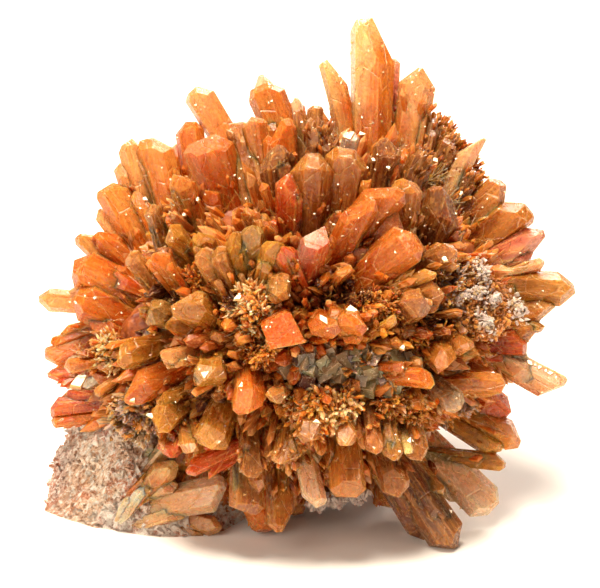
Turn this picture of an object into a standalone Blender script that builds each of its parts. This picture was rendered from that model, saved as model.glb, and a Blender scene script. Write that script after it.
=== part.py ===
"""Creedite cluster: a ball of bladed crystals that grew outwards from one heart, seated on a wedge of matrix rock.

Sizes are in millimetres times MM, so the model is in metres. +Z is up and the cluster stands on Z = 0.
Blades are laid out around the ball's heart in the plane that the show face looks out of: across to the right,
up along the face, and toward the onlooker, who looks down on the cluster by FACE_TILT.
"""

import math
import random

import bmesh
import bpy
from mathutils import Matrix, Vector, noise

MM = 0.001

# Driving dimensions, in millimetres and degrees
FACE_TILT = math.radians(20)
HEART_PLACE = (-0.26, -0.83, 25.0)
TIP_REACH = 29.0
SHOW_FACE_FLATTENING = 0.9
FLOOR_CLEARANCE = 1.2
PIECE_GAP = 0.35
# The body that the blades stand on, as joined lumps: middle from the heart, then reach, both across, up, toward
BODY_LUMPS = {
    "heart_lump": (0.0, 0.0, -0.5, 21.0, 20.5, 18.5),
    "left_shoulder": (-16.0, -4.5, 0.0, 11.0, 10.5, 10.0),
    "right_shoulder": (15.0, 4.0, 2.0, 9.6, 10.0, 9.5),
    "crown_shoulder": (5.0, 13.5, -2.5, 13.5, 9.5, 9.0),
}

# Habit of the blades: sizes as shares of the width, and how steeply the head's faces rise to its ridge
FULLNESS = 1.13
THICKNESS_SHARE = (0.6, 0.85)
RIDGE_OFFSET = 0.2
RIDGE_HALF = (0.06, 0.2)
STEEPNESS = (0.8, 1.7)
FOOT_TAPER = 0.72
SIX_SIDED_FROM_WIDTH = 3.3
BURIED_DEPTH = 0.72
# Heads that stand out: the ridge's left and right ends as shares of the width, and the steepness
MARKED_HEADS = {
    "tall_spire": (-0.38, 0.12, 2.3),
    "tan_tower": (-0.2, -0.08, 1.1),
    "peach_horn": (-0.26, 0.12, 1.2),
    "peach_tower": (-0.2, 0.16, 1.0),
    "vee_front": (0.0, 0.2, 1.6),
    "vee_right": (-0.1, 0.3, 0.9),
    "block": (-0.36, 0.24, 0.8),
    "twin_right": (-0.2, 0.16, 1.0),
}

# Filling blades cover what the named ones leave bare; the undergrowth is shorter and stands between the named ones
FILLING_TRIES = 700
FILLING_CLEARANCE = math.radians(13.2)
FILLING_WIDTH = (3.6, 6.2)
FILLING_PROTRUSION = (6.2, 9.2)
FILLING_WANDER = 0.26
UNDERGROWTH_TRIES = 900
UNDERGROWTH_CLEARANCE = math.radians(7.6)
UNDERGROWTH_WIDTH = (2.2, 3.2)
UNDERGROWTH_PROTRUSION = (3.2, 5.0)
# A named blade is kept in view from this share of its length on
OPEN_FOOT_SHARE = 0.2
# The floor shows through the ball's edge between two blades at the lower right: middle across and up, and size
GLIMPSE = (19.7, -14.8, 1.6)

ACROSS = Vector((1, 0, 0))
UPWARD = Vector((0, math.sin(FACE_TILT), math.cos(FACE_TILT)))
TOWARD = Vector((0, -math.cos(FACE_TILT), math.sin(FACE_TILT)))
HEART = Vector(HEART_PLACE) * MM

# The named blades of the show face, by region. Each row holds, in millimetres from the heart, the tip's place
# across and up, the foot's place across and up, how far the tip stands nearer the onlooker than the foot, and
# the width of the broad face.
CROWN = {
    "tall_spire": (7.8, 40.0, 8.6, 26.0, 0.0, 5.6),
    "spire_squire": (3.1, 34.7, 5.0, 27.0, 0.0, 2.9),
    "spire_sliver": (11.6, 34.8, 11.4, 27.6, 0.0, 1.6),
    "tan_tower": (15.0, 33.5, 13.6, 24.7, 0.5, 4.7),
    "crown_splinter": (17.1, 26.8, 15.0, 20.0, 0.5, 2.2),
    "ridge_upper": (19.2, 23.9, 15.4, 17.0, 0.5, 3.4),
    "ridge_middle": (21.6, 20.4, 17.6, 14.4, 1.0, 3.6),
    "ridge_inner": (15.4, 22.6, 12.8, 16.0, 1.5, 3.4),
    "cream_sail": (22.3, 24.9, 19.6, 19.6, 0.0, 3.0),
    "peach_tower": (-5.6, 31.3, -2.2, 23.4, 0.5, 4.8),
    "pale_ghost": (-5.8, 32.7, -4.2, 27.0, -1.0, 2.4),
    "glass_splinter": (-1.2, 29.6, -0.6, 25.0, 0.0, 1.5),
    "brown_tooth": (1.8, 29.2, 1.0, 24.5, 0.0, 2.2),
    "peach_horn": (-14.4, 30.9, -9.8, 23.4, 0.5, 3.8),
    "brown_knob": (-8.8, 27.0, -7.6, 22.6, -1.0, 3.2),
    "horn_squire": (-15.1, 26.5, -14.2, 18.6, 1.0, 3.7),
    "twin_left": (-22.9, 24.2, -20.4, 14.7, 1.0, 3.5),
    "twin_right": (-20.0, 24.3, -17.2, 14.7, 1.5, 4.6),
}
LEFT_FLANK = {
    "thumb": (-25.5, 18.3, -21.4, 10.8, 1.0, 4.4),
    "thumb_chip": (-27.0, 14.9, -24.4, 11.2, 0.0, 1.8),
    "tan_stub": (-29.4, 11.8, -26.2, 8.6, 0.0, 2.4),
    "upper_paw": (-27.0, 12.1, -22.0, 7.6, 1.5, 3.6),
    "great_paw": (-30.1, 7.8, -21.4, 3.6, 2.0, 5.2),
    "lower_paw": (-29.8, 4.0, -21.4, 0.0, 2.5, 5.6),
    "left_point": (-34.7, 3.4, -27.0, 2.8, 0.0, 2.9),
    "left_leaf": (-31.9, -1.2, -27.0, 0.0, 0.0, 1.8),
    "left_fin": (-33.8, -4.6, -27.4, -2.2, 0.0, 3.0),
    "left_stub": (-33.5, -6.7, -28.0, -6.2, 0.0, 1.9),
    "left_white": (-29.8, -8.4, -26.0, -6.4, 0.0, 2.3),
    "ember_fin": (-33.2, -10.8, -27.6, -10.2, 0.0, 2.7),
    "ember_sliver": (-33.0, -12.6, -27.6, -12.0, 0.0, 1.7),
}
UPPER_FACE = {
    "block": (-12.9, 24.0, -9.4, 14.4, 4.0, 6.2),
    "block_squire": (-16.3, 19.6, -14.0, 14.0, 3.5, 3.4),
    "small_tan": (-19.7, 15.6, -18.4, 11.4, 3.0, 2.3),
    "dusk_head": (-4.3, 22.8, -3.4, 18.0, 4.0, 4.0),
    "flame_spike": (-2.0, 19.0, -2.2, 11.8, 5.0, 3.5),
    "honey_left": (-17.3, 12.6, -14.6, 8.8, 4.0, 2.9),
    "amber_left": (-13.2, 12.1, -11.6, 7.8, 4.5, 2.7),
    "pale_honey": (-9.5, 11.7, -8.0, 6.2, 5.0, 3.2),
    "olive_head": (-7.0, 12.4, -6.2, 7.6, 5.0, 3.2),
    "honey_cut": (-3.6, 10.6, -5.0, 6.2, 6.0, 3.2),
    "honey_pair_left": (-13.1, 9.5, -10.2, 4.2, 5.0, 2.7),
    "honey_pair_right": (-11.2, 9.8, -8.8, 4.2, 5.0, 2.4),
    "orange_stub": (-18.8, 9.5, -16.4, 6.0, 3.5, 2.4),
    "tan_chip": (-22.5, 9.2, -19.8, 6.0, 3.0, 2.4),
    "great_left": (1.0, 21.4, 0.4, 11.4, 5.5, 5.5),
    "great_right": (5.6, 22.6, 3.6, 11.8, 5.0, 5.5),
    "dusk_knob": (2.2, 25.2, 2.2, 20.0, 3.0, 4.0),
    "white_tooth": (6.1, 25.0, 5.2, 21.2, 3.0, 2.1),
    "dusk_tower": (10.8, 24.0, 9.8, 18.4, 3.0, 3.5),
    "vee_back": (11.3, 17.9, 4.8, 10.0, 5.0, 5.0),
    "vee_front": (7.8, 16.2, 2.8, 6.2, 7.5, 4.1),
    "vee_right": (13.9, 11.2, 6.0, 5.2, 6.5, 5.3),
    "pink_blade": (2.0, 12.8, -0.6, 4.8, 7.0, 3.7),
    "flame_chip": (-2.9, 10.0, -1.2, 6.0, 5.0, 2.7),
    "rust_head": (13.0, 18.8, 12.4, 12.6, 4.0, 4.0),
    "rust_drum": (18.6, 17.4, 16.2, 10.8, 5.0, 5.6),
}
RIGHT_FLANK = {
    "shoulder_upper": (26.4, 18.2, 20.4, 13.0, 2.0, 4.6),
    "shoulder_lower": (28.6, 16.0, 21.2, 10.4, 3.0, 5.4),
    "pink_cracked": (31.4, 11.3, 25.2, 8.8, 1.5, 4.5),
    "pale_lip": (31.2, 8.0, 27.0, 7.0, 0.0, 1.7),
    "right_point": (35.2, 4.6, 25.4, 5.2, 1.0, 4.3),
    "right_under": (32.6, 2.4, 25.6, 1.2, 2.0, 3.5),
    "right_leaf": (30.0, -0.5, 22.0, -1.4, 4.0, 3.5),
    "ember_wing": (29.0, -2.4, 24.0, -2.4, 0.0, 3.4),
    "great_wing": (33.4, -8.7, 23.6, -3.4, 2.0, 4.0),
    "ember_block": (27.0, -11.2, 20.8, -9.6, 4.0, 4.8),
    "low_wing": (28.2, -15.0, 21.4, -12.0, 2.0, 3.8),
    "low_chip": (26.2, -17.9, 21.2, -17.4, 0.5, 2.3),
    "low_link": (25.4, -16.6, 21.6, -14.2, 1.0, 2.8),
    "tan_log": (19.0, 9.6, 13.8, 7.2, 4.0, 2.7),
    "gold_bar": (16.4, 6.9, 10.8, 4.6, 3.0, 1.6),
    "amber_log": (17.5, 4.4, 11.8, 3.0, 4.0, 2.9),
    "peach_face": (14.6, 3.4, 12.0, 1.2, 8.0, 3.8),
}
MIDDLE_FACE = {
    "red_diamond": (-1.0, -1.6, -3.2, 1.0, 9.0, 5.0),
    "red_twin_left": (2.6, 0.4, 2.2, 2.0, 9.0, 3.5),
    "red_twin_right": (5.4, 0.2, 4.8, 2.2, 9.0, 4.2),
    "tan_middle": (-2.1, 4.7, -4.5, 5.6, 8.0, 3.4),
    "honey_slab": (-15.6, 3.4, -12.0, 0.9, 7.0, 4.6),
    "brown_cap": (-19.8, 2.0, -17.2, 1.2, 6.0, 3.5),
    "tan_tongue": (-24.0, -4.0, -18.4, -2.6, 4.5, 3.5),
    "great_tongue": (-23.2, -8.7, -14.4, -5.2, 5.5, 4.3),
    "pale_tongue": (-18.2, -4.2, -13.4, -3.2, 5.0, 2.2),
    "honey_prow": (-12.0, -7.0, -11.8, -4.4, 8.0, 4.0),
    "honey_keel": (-6.9, -10.8, -7.4, -5.4, 7.5, 4.3),
    "orange_sprig": (11.4, 1.0, 8.6, -0.9, 4.0, 1.3),
    "orange_brow": (18.2, -4.9, 15.4, -2.4, 7.0, 3.7),
    "tan_brow": (20.6, -3.4, 18.6, -1.2, 6.0, 2.7),
    "clear_amber": (15.6, -6.6, 9.6, -6.1, 5.0, 2.5),
    "grey_nub": (19.8, -10.2, 16.8, -8.0, 4.0, 3.2),
}
LOWER_FACE = {
    "honey_stump": (-18.8, -12.2, -15.8, -10.2, 6.0, 3.7),
    "honey_drop": (-12.2, -15.6, -10.4, -10.2, 6.0, 4.3),
    "ember_drop": (-17.2, -16.8, -16.6, -12.6, 4.0, 2.7),
    "tan_drop": (-14.5, -16.2, -15.2, -12.8, 5.0, 2.2),
    "ember_rod": (-15.2, -18.4, -10.4, -16.2, 1.0, 2.2),
    "brown_post": (-7.4, -24.0, -7.4, -16.0, 2.0, 4.4),
    "brown_post_squire": (-6.8, -19.2, -6.8, -14.6, 4.0, 2.9),
    "long_fang": (-2.9, -26.4, -3.6, -17.6, 2.0, 3.7),
    "striped_fang": (1.5, -23.2, -0.4, -14.8, 3.0, 3.0),
    "orange_apron": (5.5, -21.7, 4.8, -14.2, 3.5, 4.6),
    "tan_finger_left": (8.8, -16.2, 8.2, -11.4, 4.5, 2.4),
    "tan_finger": (11.3, -17.0, 10.4, -12.0, 4.5, 2.7),
    "tan_finger_right": (14.5, -17.1, 13.2, -11.4, 4.5, 2.9),
    "bright_bar": (13.2, -16.2, 12.2, -12.4, 5.5, 1.2),
    "tan_spade": (5.5, -14.8, 4.2, -10.2, 6.0, 2.5),
    "tan_nub": (-3.9, -8.8, -2.6, -8.0, 7.0, 2.3),
    "tan_bulb": (-2.6, -17.4, -1.9, -12.6, 6.0, 3.2),
    "tuft_stem": (0.9, -14.4, 0.4, -9.6, 7.0, 3.5),
    "lance": (24.5, -24.3, 15.2, -15.2, 2.0, 5.0),
    "tan_apron": (16.6, -23.0, 11.8, -16.8, 3.0, 4.6),
    "rust_apron": (12.1, -21.8, 10.2, -16.4, 3.5, 3.8),
}
# Named blades that stand further back than the ball's curve, or nearer the onlooker where negative, in millimetres
SET_BACK = {
    "pale_ghost": 3.2, "brown_knob": 2.5, "great_paw": -4.0, "lower_paw": -4.5, "upper_paw": -1.5, "thumb": -1.0,
    "twin_right": -1.5, "spire_sliver": 1.5,
}
# The blade at the lower right touches the surface that the cluster stands on
STANDING_BLADE = (19.4, -28.7, 14.4, -21.4, 1.0, 5.0)
# A second foot behind, in plan from the heart: across, and away from the onlooker
REAR_FOOT_PLAN = (13.0, 11.0)
REAR_FOOT_WIDTH = 4.6
# Their heads are blunt, so that the named tips stand a hair above the floor that the corners touch
STANDING_TIP_HEIGHT = 0.15

# The spray that stands on the toe of the rock: as above, with the tip's place toward the onlooker at the end
SIDE_SPRAY = {
    "spray_long": (-9.8, -21.6, -20.4, -23.2, 6.2, 4.3, 4.4),
    "spray_honey": (-17.3, -17.7, -20.2, -21.4, 4.4, 2.8, 3.2),
    "spray_low": (-11.2, -25.8, -17.6, -24.2, 2.6, 2.6, 2.6),
    "spray_pale": (-17.4, -14.8, -19.8, -18.2, 2.6, 2.0, 2.4),
    "spray_clear": (-21.4, -20.4, -23.2, -22.8, 2.8, 1.8, 2.2),
}
SPRAY_ROOT = (-19.8, -21.9, -1.3, 3.8, 2.6, 1.4)
SPRAY_BURIED = 3.0

# Corners of the rock in plan from the heart, across and away from the onlooker, and in height above the floor
ROCK_SOLE = (
    (-35.2, -3.0), (-29.6, -7.4), (-24.0, -9.6), (-17.0, -12.2), (-11.0, -11.4), (-7.6, -6.0),
    (-5.6, 1.0), (-2.0, 9.0), (-5.0, 17.0), (-15.0, 20.5), (-27.0, 16.5), (-34.4, 7.0),
)
ROCK_SOLE_DEPTH = -2.5
ROCK_BROW = (
    (-30.8, -0.6, 10.8), (-27.0, -2.6, 14.6), (-22.0, -3.8, 15.4), (-22.5, -10.6, 6.4), (-14.5, -4.8, 12.5), (-9.0, -2.0, 9.5),
    (-5.0, 6.0, 9.0), (-8.0, 13.0, 10.0), (-16.0, 14.5, 12.5), (-26.5, 9.5, 13.5),
)
ROCK_CUTS = 2
ROCK_ROUGHNESS = 0.9
ROCK_GRAIN = 5.0

# Crusts of small blocky crystals: middle from the heart, half size across and up, grain size, how far the
# crust is turned from the ball's surface to the onlooker (0 to 1), lean in its own plane, number of grains
CRUSTS = {
    "white_druse_side": (22.8, 3.2, 12.0, 3.4, 5.0, 2.6, 0.6, 0.45, 6),
    "white_druse_under": (4.0, -22.3, 1.6, 3.6, 1.8, 2.4, 0.0, 0.0, 4),
    "grey_cube_band": (6.2, -5.2, 17.0, 8.2, 2.4, 3.6, 0.5, -0.12, 7),
}


def from_heart(across, up, toward):
    """A point given in millimetres from the heart, in metres in the world."""
    return HEART + (ACROSS * across + UPWARD * up + TOWARD * toward) * MM


def depth_of_tip(across, up):
    """How near the onlooker a tip of the show face stands, in millimetres."""
    return SHOW_FACE_FLATTENING * math.sqrt(max(0.0, TIP_REACH**2 - across**2 - up**2))


def depth_in_body(point):
    """How far out a point lies from the middle of the nearest lump of the body, as a share of its reach."""
    offset = (point - HEART) / MM
    place = Vector((offset.dot(ACROSS), offset.dot(UPWARD), offset.dot(TOWARD)))
    shares = []
    for lump in BODY_LUMPS.values():
        apart = place - Vector(lump[:3])
        shares.append(Vector([apart[axis] / lump[3 + axis] for axis in range(3)]).length)
    return min(shares)


class Blade:
    """One crystal: its tip, the way it points, and its sizes in metres."""

    def __init__(self, name, tip, foot, width, broad_normal):
        chance = random.Random(name)
        self.name = name
        self.tip = tip
        self.foot = foot
        self.axis = (tip - foot).normalized()
        self.width = width * MM
        self.thickness = self.width * chance.uniform(*THICKNESS_SHARE)
        middle, half = chance.uniform(-RIDGE_OFFSET, RIDGE_OFFSET), chance.uniform(*RIDGE_HALF)
        self.ridge = (middle - half, middle + half)
        self.steepness = chance.uniform(*STEEPNESS)
        if name in MARKED_HEADS:
            self.ridge, self.steepness = MARKED_HEADS[name][:2], MARKED_HEADS[name][2]
        self.ridge_drop = chance.uniform(-0.12, 0.12)
        self.broad_normal = Matrix.Rotation(chance.uniform(-0.3, 0.3), 3, self.axis) @ broad_normal
        self.length = self.buried_length((tip - foot).length)

    def buried_length(self, shown):
        """The length from tip to root, which ends well inside the body."""
        length = shown
        while depth_in_body(self.tip - self.axis * length) > BURIED_DEPTH and length < shown + 16 * MM:
            length += 0.5 * MM
        return length

    def frame(self):
        """The matrix from the blade's own axes, width along X and length along Z, to the world."""
        side = self.broad_normal.cross(self.axis).normalized()
        normal = self.axis.cross(side).normalized()
        turn = Matrix((side, normal, self.axis)).transposed().to_4x4()
        return Matrix.Translation(self.tip - self.axis * self.length) @ turn


def section(width, thickness, sides):
    """The outline across a blade, from its right edge: a flattened hexagon, or a lozenge on a narrow blade."""
    if sides == 4:
        return [(width / 2, 0), (0, thickness / 2), (-width / 2, 0), (0, -thickness / 2)]
    half, flank = width / 2, width * 0.27
    return [
        (half, 0), (flank, thickness / 2), (-flank, thickness / 2),
        (-half, 0), (-flank, -thickness / 2), (flank, -thickness / 2),
    ]


def add_blade(mesh, blade, swell=0.0):
    """Adds the blade to a bmesh: a tapered prism under a roof-shaped head. A swell, in metres, grows it all round."""
    sides = 6 if blade.width >= SIX_SIDED_FROM_WIDTH * MM else 4
    top = blade.length + 1.5 * swell
    ends = [share * blade.width for share in blade.ridge]
    if sides == 4:
        ends = [sum(ends) / 2] * 2
    root_ring, shoulder_ring = [], []
    for x, y in section(blade.width + 2 * swell, blade.thickness + 2.4 * swell, sides):
        root_ring.append(mesh.verts.new((x * FOOT_TAPER, y * FOOT_TAPER, -swell)))
        from_ridge = max(ends[0] - x, x - ends[1], 0.0) + 0.55 * abs(y)
        height = top - blade.steepness * from_ridge
        spread = FOOT_TAPER + (1 - FOOT_TAPER) * height / top
        shoulder_ring.append(mesh.verts.new((x * spread, y * spread, height)))
    right = left = mesh.verts.new((ends[1], 0, top))
    if sides == 6:
        left = mesh.verts.new((ends[0], 0, top + blade.ridge_drop * (ends[1] - ends[0])))
        first, fourth = shoulder_ring[1], shoulder_ring[4]
        mesh.faces.new((first, left, right))
        mesh.faces.new((fourth, right, left))
    peaks = [right, left, left, left, right, right] if sides == 6 else [right] * 4
    for index in range(sides):
        after = (index + 1) % sides
        mesh.faces.new((root_ring[index], root_ring[after], shoulder_ring[after], shoulder_ring[index]))
        mesh.faces.new((shoulder_ring[index], shoulder_ring[after], peaks[index]))
    mesh.faces.new(root_ring[::-1])
    made = root_ring + shoulder_ring + list({right, left})
    bmesh.ops.transform(mesh, matrix=blade.frame(), verts=made)


def facing_normal(axis):
    """A broad side's normal: square to the axis and as near to the onlooker as that allows."""
    normal = TOWARD - axis * TOWARD.dot(axis)
    if normal.length < 0.3:
        normal = UPWARD - axis * UPWARD.dot(axis)
    return normal.normalized()


def named_blade(name, row, tip_depth=None):
    """A blade of the show face, from its row of millimetres."""
    tip_across, tip_up, foot_across, foot_up, rise, width = row[:6]
    depth = depth_of_tip(tip_across, tip_up) - SET_BACK.get(name, 0) if tip_depth is None else tip_depth
    tip = from_heart(tip_across, tip_up, depth)
    foot = from_heart(foot_across, foot_up, depth - rise)
    return Blade(name, tip, foot, width * FULLNESS, facing_normal((tip - foot).normalized()))


def standing_blades():
    """The two blades whose points touch the floor, one in front and one behind."""
    up = STANDING_BLADE[1]
    height_without_depth = HEART_PLACE[2] + up * math.cos(FACE_TILT) - STANDING_TIP_HEIGHT
    front = named_blade("front_foot", STANDING_BLADE, -height_without_depth / math.sin(FACE_TILT))
    rear_tip = Vector((HEART.x + REAR_FOOT_PLAN[0] * MM, HEART.y + REAR_FOOT_PLAN[1] * MM,
                       STANDING_TIP_HEIGHT * MM))
    rear = Blade("rear_foot", rear_tip, HEART, REAR_FOOT_WIDTH, Vector((0.6, 0.8, 0)))
    for blade in (front, rear):
        blade.ridge = (-0.05, 0.05)
    return [front, rear]


def show_blades():
    rows = {**CROWN, **LEFT_FLANK, **UPPER_FACE, **RIGHT_FLANK, **MIDDLE_FACE, **LOWER_FACE}
    return [named_blade(name, row) for name, row in rows.items()] + standing_blades()


def in_view(point):
    """A point as the onlooker sees it: across, up and toward, in millimetres from the heart."""
    offset = (point - HEART) / MM
    return Vector((offset.dot(ACROSS), offset.dot(UPWARD), offset.dot(TOWARD)))


def stands_before(point, blade):
    """Whether something at this point would hide the part of a named blade that the onlooker sees."""
    tip, foot, place = in_view(blade.tip), in_view(blade.foot), in_view(point)
    run = (tip - foot).xy
    share = (place - foot).xy.dot(run) / max(run.length_squared, 1e-6)
    share = min(max(share, OPEN_FOOT_SHARE), 1.0)
    aside = ((place - foot).xy - run * share).length
    return aside < 0.425 * blade.width / MM and place.z > foot.z + share * (tip.z - foot.z) - 1.5


def bearings(count):
    """Directions spread evenly over a sphere."""
    golden_angle = math.pi * (3 - math.sqrt(5))
    for index in range(count):
        height = 1 - 2 * (index + 0.5) / count
        ring = math.sqrt(1 - height * height)
        turn = golden_angle * index
        yield ACROSS * (ring * math.cos(turn)) + UPWARD * height + TOWARD * (ring * math.sin(turn))


def hides_glimpse(blade):
    """Whether a blade would stop the gap at the lower right, as seen from the show face."""
    across, up, size = GLIMPSE
    for step in range(12):
        offset = (blade.tip - blade.axis * blade.length * step / 12 - HEART) / MM
        apart = Vector((offset.dot(ACROSS) - across, offset.dot(UPWARD) - up)).length
        if apart < size + blade.width / MM / 2:
            return True
    return False


def near_crust(direction):
    """Whether a blade growing that way would come up through a crust."""
    for across, up, toward, half_across, half_up, *_rest in CRUSTS.values():
        middle = ACROSS * across + UPWARD * up + TOWARD * toward
        apart = direction * (middle.length / max(direction.dot(middle.normalized()), 0.2)) - middle
        share = Vector((apart.dot(ACROSS) / (half_across + 1), apart.dot(UPWARD) / (half_up + 1)))
        if direction.dot(middle) > 0 and share.length < 1:
            return True
    return False


def grown_blade(kind, index, direction, width, protrusion):
    """A blade that grows outwards from the body, leaning a little, and stays clear of the floor."""
    chance = random.Random(f"{kind} {index}")
    surface = 15 * MM
    while depth_in_body(HEART + direction * surface) < 1:
        surface += 0.25 * MM
    extent = surface + chance.uniform(*protrusion) * MM
    if direction.z < 0:
        extent = min(extent, (HEART.z - FLOOR_CLEARANCE * MM) / -direction.z)
    tip = HEART + direction * extent
    wander = Vector([chance.uniform(-1, 1) for _ in range(3)]) * FILLING_WANDER
    foot = tip - (direction + wander).normalized() * 6 * MM
    normal = direction.orthogonal().normalized()
    normal.rotate(Matrix.Rotation(chance.uniform(0, math.pi), 3, direction))
    return Blade(f"{kind}_{index}", tip, foot, chance.uniform(*width), normal)


def filling_blades(shown):
    """Blades wherever no named one and no crust is, then shorter ones in the gaps of the show face."""
    taken = []
    for blade in shown:
        for share in (0.0, 0.35):
            taken.append((blade.tip - blade.axis * blade.length * share - HEART).normalized())
    made = []
    for kind, tries, clearance, width, protrusion, least in (
        ("filling", FILLING_TRIES, FILLING_CLEARANCE, FILLING_WIDTH, FILLING_PROTRUSION, -1.0),
        ("undergrowth", UNDERGROWTH_TRIES, UNDERGROWTH_CLEARANCE, UNDERGROWTH_WIDTH, UNDERGROWTH_PROTRUSION, 0.1),
    ):
        for index, direction in enumerate(bearings(tries)):
            if direction.dot(TOWARD) < least or near_crust(direction):
                continue
            if min(direction.angle(other) for other in taken) < clearance:
                continue
            blade = grown_blade(kind, index, direction, width, protrusion)
            seen = [blade.tip - blade.axis * step * MM for step in (0.3, 1.5, 3.0)]
            hides = any(stands_before(point, other) for point in seen for other in shown)
            if hides or hides_glimpse(blade):
                continue
            taken.append(direction)
            made.append(blade)
    return made


def new_object(name, mesh, material=None):
    """An object made from a bmesh, which is freed."""
    data = bpy.data.meshes.new(name)
    mesh.to_mesh(data)
    mesh.free()
    made = bpy.data.objects.new(name, data)
    bpy.context.scene.collection.objects.link(made)
    if material:
        data.materials.append(material)
    return made


def new_cutter(name, mesh):
    cutter = new_object(name, mesh)
    cutter.hide_render = True
    cutter.display_type = "WIRE"
    return cutter


def add_boolean(target, other, operation):
    """A Boolean that copes with shapes that cross one another inside the other object."""
    modifier = target.modifiers.new(f"{operation.lower()}_{other.name}", "BOOLEAN")
    modifier.operation = operation
    modifier.solver = "EXACT"
    modifier.use_self = True
    modifier.object = other


def settle(target):
    """Applies the modifiers, keeps the largest body, and drops chips that the cuts left loose."""
    graph = bpy.context.evaluated_depsgraph_get()
    cut = bpy.data.meshes.new_from_object(target.evaluated_get(graph))
    target.modifiers.clear()
    target.data = cut
    mesh = bmesh.new()
    mesh.from_mesh(cut)
    unseen = set(mesh.verts)
    bodies = []
    while unseen:
        body, edge = set(), [unseen.pop()]
        while edge:
            vert = edge.pop()
            body.add(vert)
            for link in vert.link_edges:
                other = link.other_vert(vert)
                if other in unseen:
                    unseen.discard(other)
                    edge.append(other)
        bodies.append(body)
    largest = max(bodies, key=len)
    bmesh.ops.delete(mesh, geom=[v for v in mesh.verts if v not in largest], context="VERTS")
    bmesh.ops.dissolve_degenerate(mesh, dist=2e-7, edges=mesh.edges)
    mesh.to_mesh(cut)
    mesh.free()


def hull_of(points):
    mesh = bmesh.new()
    for point in points:
        mesh.verts.new(point)
    made = bmesh.ops.convex_hull(mesh, input=mesh.verts)
    inside = [g for g in made["geom_interior"] + made["geom_unused"] if isinstance(g, bmesh.types.BMVert)]
    bmesh.ops.delete(mesh, geom=list(set(inside)), context="VERTS")
    bmesh.ops.recalc_face_normals(mesh, faces=mesh.faces)
    return mesh


def swell(mesh, distance):
    """Moves each corner out along its normal."""
    mesh.normal_update()
    moved = [(vert, vert.co + vert.normal * distance) for vert in mesh.verts]
    for vert, place in moved:
        vert.co = place


def rock_mesh(growth=0.0):
    """The rock as a rough lump, reaching a little below the floor, where it is cut off flat."""
    plan = HEART.x, HEART.y
    corners = [(plan[0] + x * MM, plan[1] + y * MM, ROCK_SOLE_DEPTH * MM) for x, y in ROCK_SOLE]
    corners += [(plan[0] + x * MM, plan[1] + y * MM, z * MM) for x, y, z in ROCK_BROW]
    mesh = hull_of(corners)
    bmesh.ops.triangulate(mesh, faces=mesh.faces)
    bmesh.ops.subdivide_edges(mesh, edges=mesh.edges, cuts=ROCK_CUTS, use_grid_fill=True)
    bmesh.ops.triangulate(mesh, faces=mesh.faces)
    mesh.normal_update()
    for vert in mesh.verts:
        bump = noise.noise((vert.co - HEART) / (ROCK_GRAIN * MM))
        vert.co += vert.normal * bump * ROCK_ROUGHNESS * MM
    if growth:
        swell(mesh, growth)
    else:
        everything = mesh.verts[:] + mesh.edges[:] + mesh.faces[:]
        bmesh.ops.bisect_plane(mesh, geom=everything, plane_co=(0, 0, 0), plane_no=(0, 0, -1), clear_outer=True)
        rim = [edge for edge in mesh.edges if edge.is_boundary]
        bmesh.ops.contextual_create(mesh, geom=rim)
        bmesh.ops.recalc_face_normals(mesh, faces=mesh.faces)
    return mesh


def crust_mesh(name):
    """Small blocky crystals grown together on a thin plate that lies on the ball's surface."""
    across, up, toward, half_across, half_up, grain, turned, lean, count = CRUSTS[name]
    chance = random.Random(name)
    middle = from_heart(across, up, toward)
    outward = ((middle - HEART).normalized() * (1 - turned) + TOWARD * turned).normalized()
    side = (ACROSS - outward * ACROSS.dot(outward)).normalized()
    side.rotate(Matrix.Rotation(lean, 3, outward))
    rise = outward.cross(side)
    mesh = bmesh.new()
    bmesh.ops.create_icosphere(mesh, subdivisions=1, radius=1.1)
    plate = Matrix.Translation(middle) @ Matrix((side, rise, outward)).transposed().to_4x4()
    sizes = Matrix.Diagonal((half_across * MM, half_up * MM, 1.3 * MM, 1))
    bmesh.ops.transform(mesh, matrix=plate @ sizes, verts=mesh.verts)
    for index in range(count):
        turn = index * math.pi * (3 - math.sqrt(5))
        spread = math.sqrt((index + 0.3) / count) * 0.9
        place = middle + side * (half_across * spread * math.cos(turn) * MM)
        place += rise * (half_up * spread * math.sin(turn) * MM)
        place += outward * (0.4 * MM)
        size = grain * chance.uniform(0.7, 1.1) * MM
        tumble = Matrix.Rotation(chance.uniform(0, math.pi), 4, Vector([chance.uniform(-1, 1) for _ in range(3)]))
        bmesh.ops.create_cube(mesh, size=size, matrix=Matrix.Translation(place) @ tumble)
    return mesh


def stuff(name, colour, roughness):
    """A plain finish: creedite and fluorite are glassy, and the rock is dull."""
    material = bpy.data.materials.new(name)
    material.use_nodes = True
    shader = material.node_tree.nodes["Principled BSDF"]
    shader.inputs["Base Color"].default_value = (*colour, 1)
    shader.inputs["Roughness"].default_value = roughness
    shader.inputs["Metallic"].default_value = 0.0
    return material


def add_lump(mesh, place, reach, growth=0.0):
    """A rounded lump in a bmesh, squared to the show face: place from the heart and reach, in millimetres."""
    turn = Matrix((ACROSS, UPWARD, TOWARD)).transposed().to_4x4()
    sizes = Matrix.Diagonal([(size + growth) * MM for size in reach] + [1])
    matrix = Matrix.Translation(from_heart(*place)) @ turn @ sizes
    bmesh.ops.create_icosphere(mesh, subdivisions=2, radius=1.0, matrix=matrix)


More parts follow.
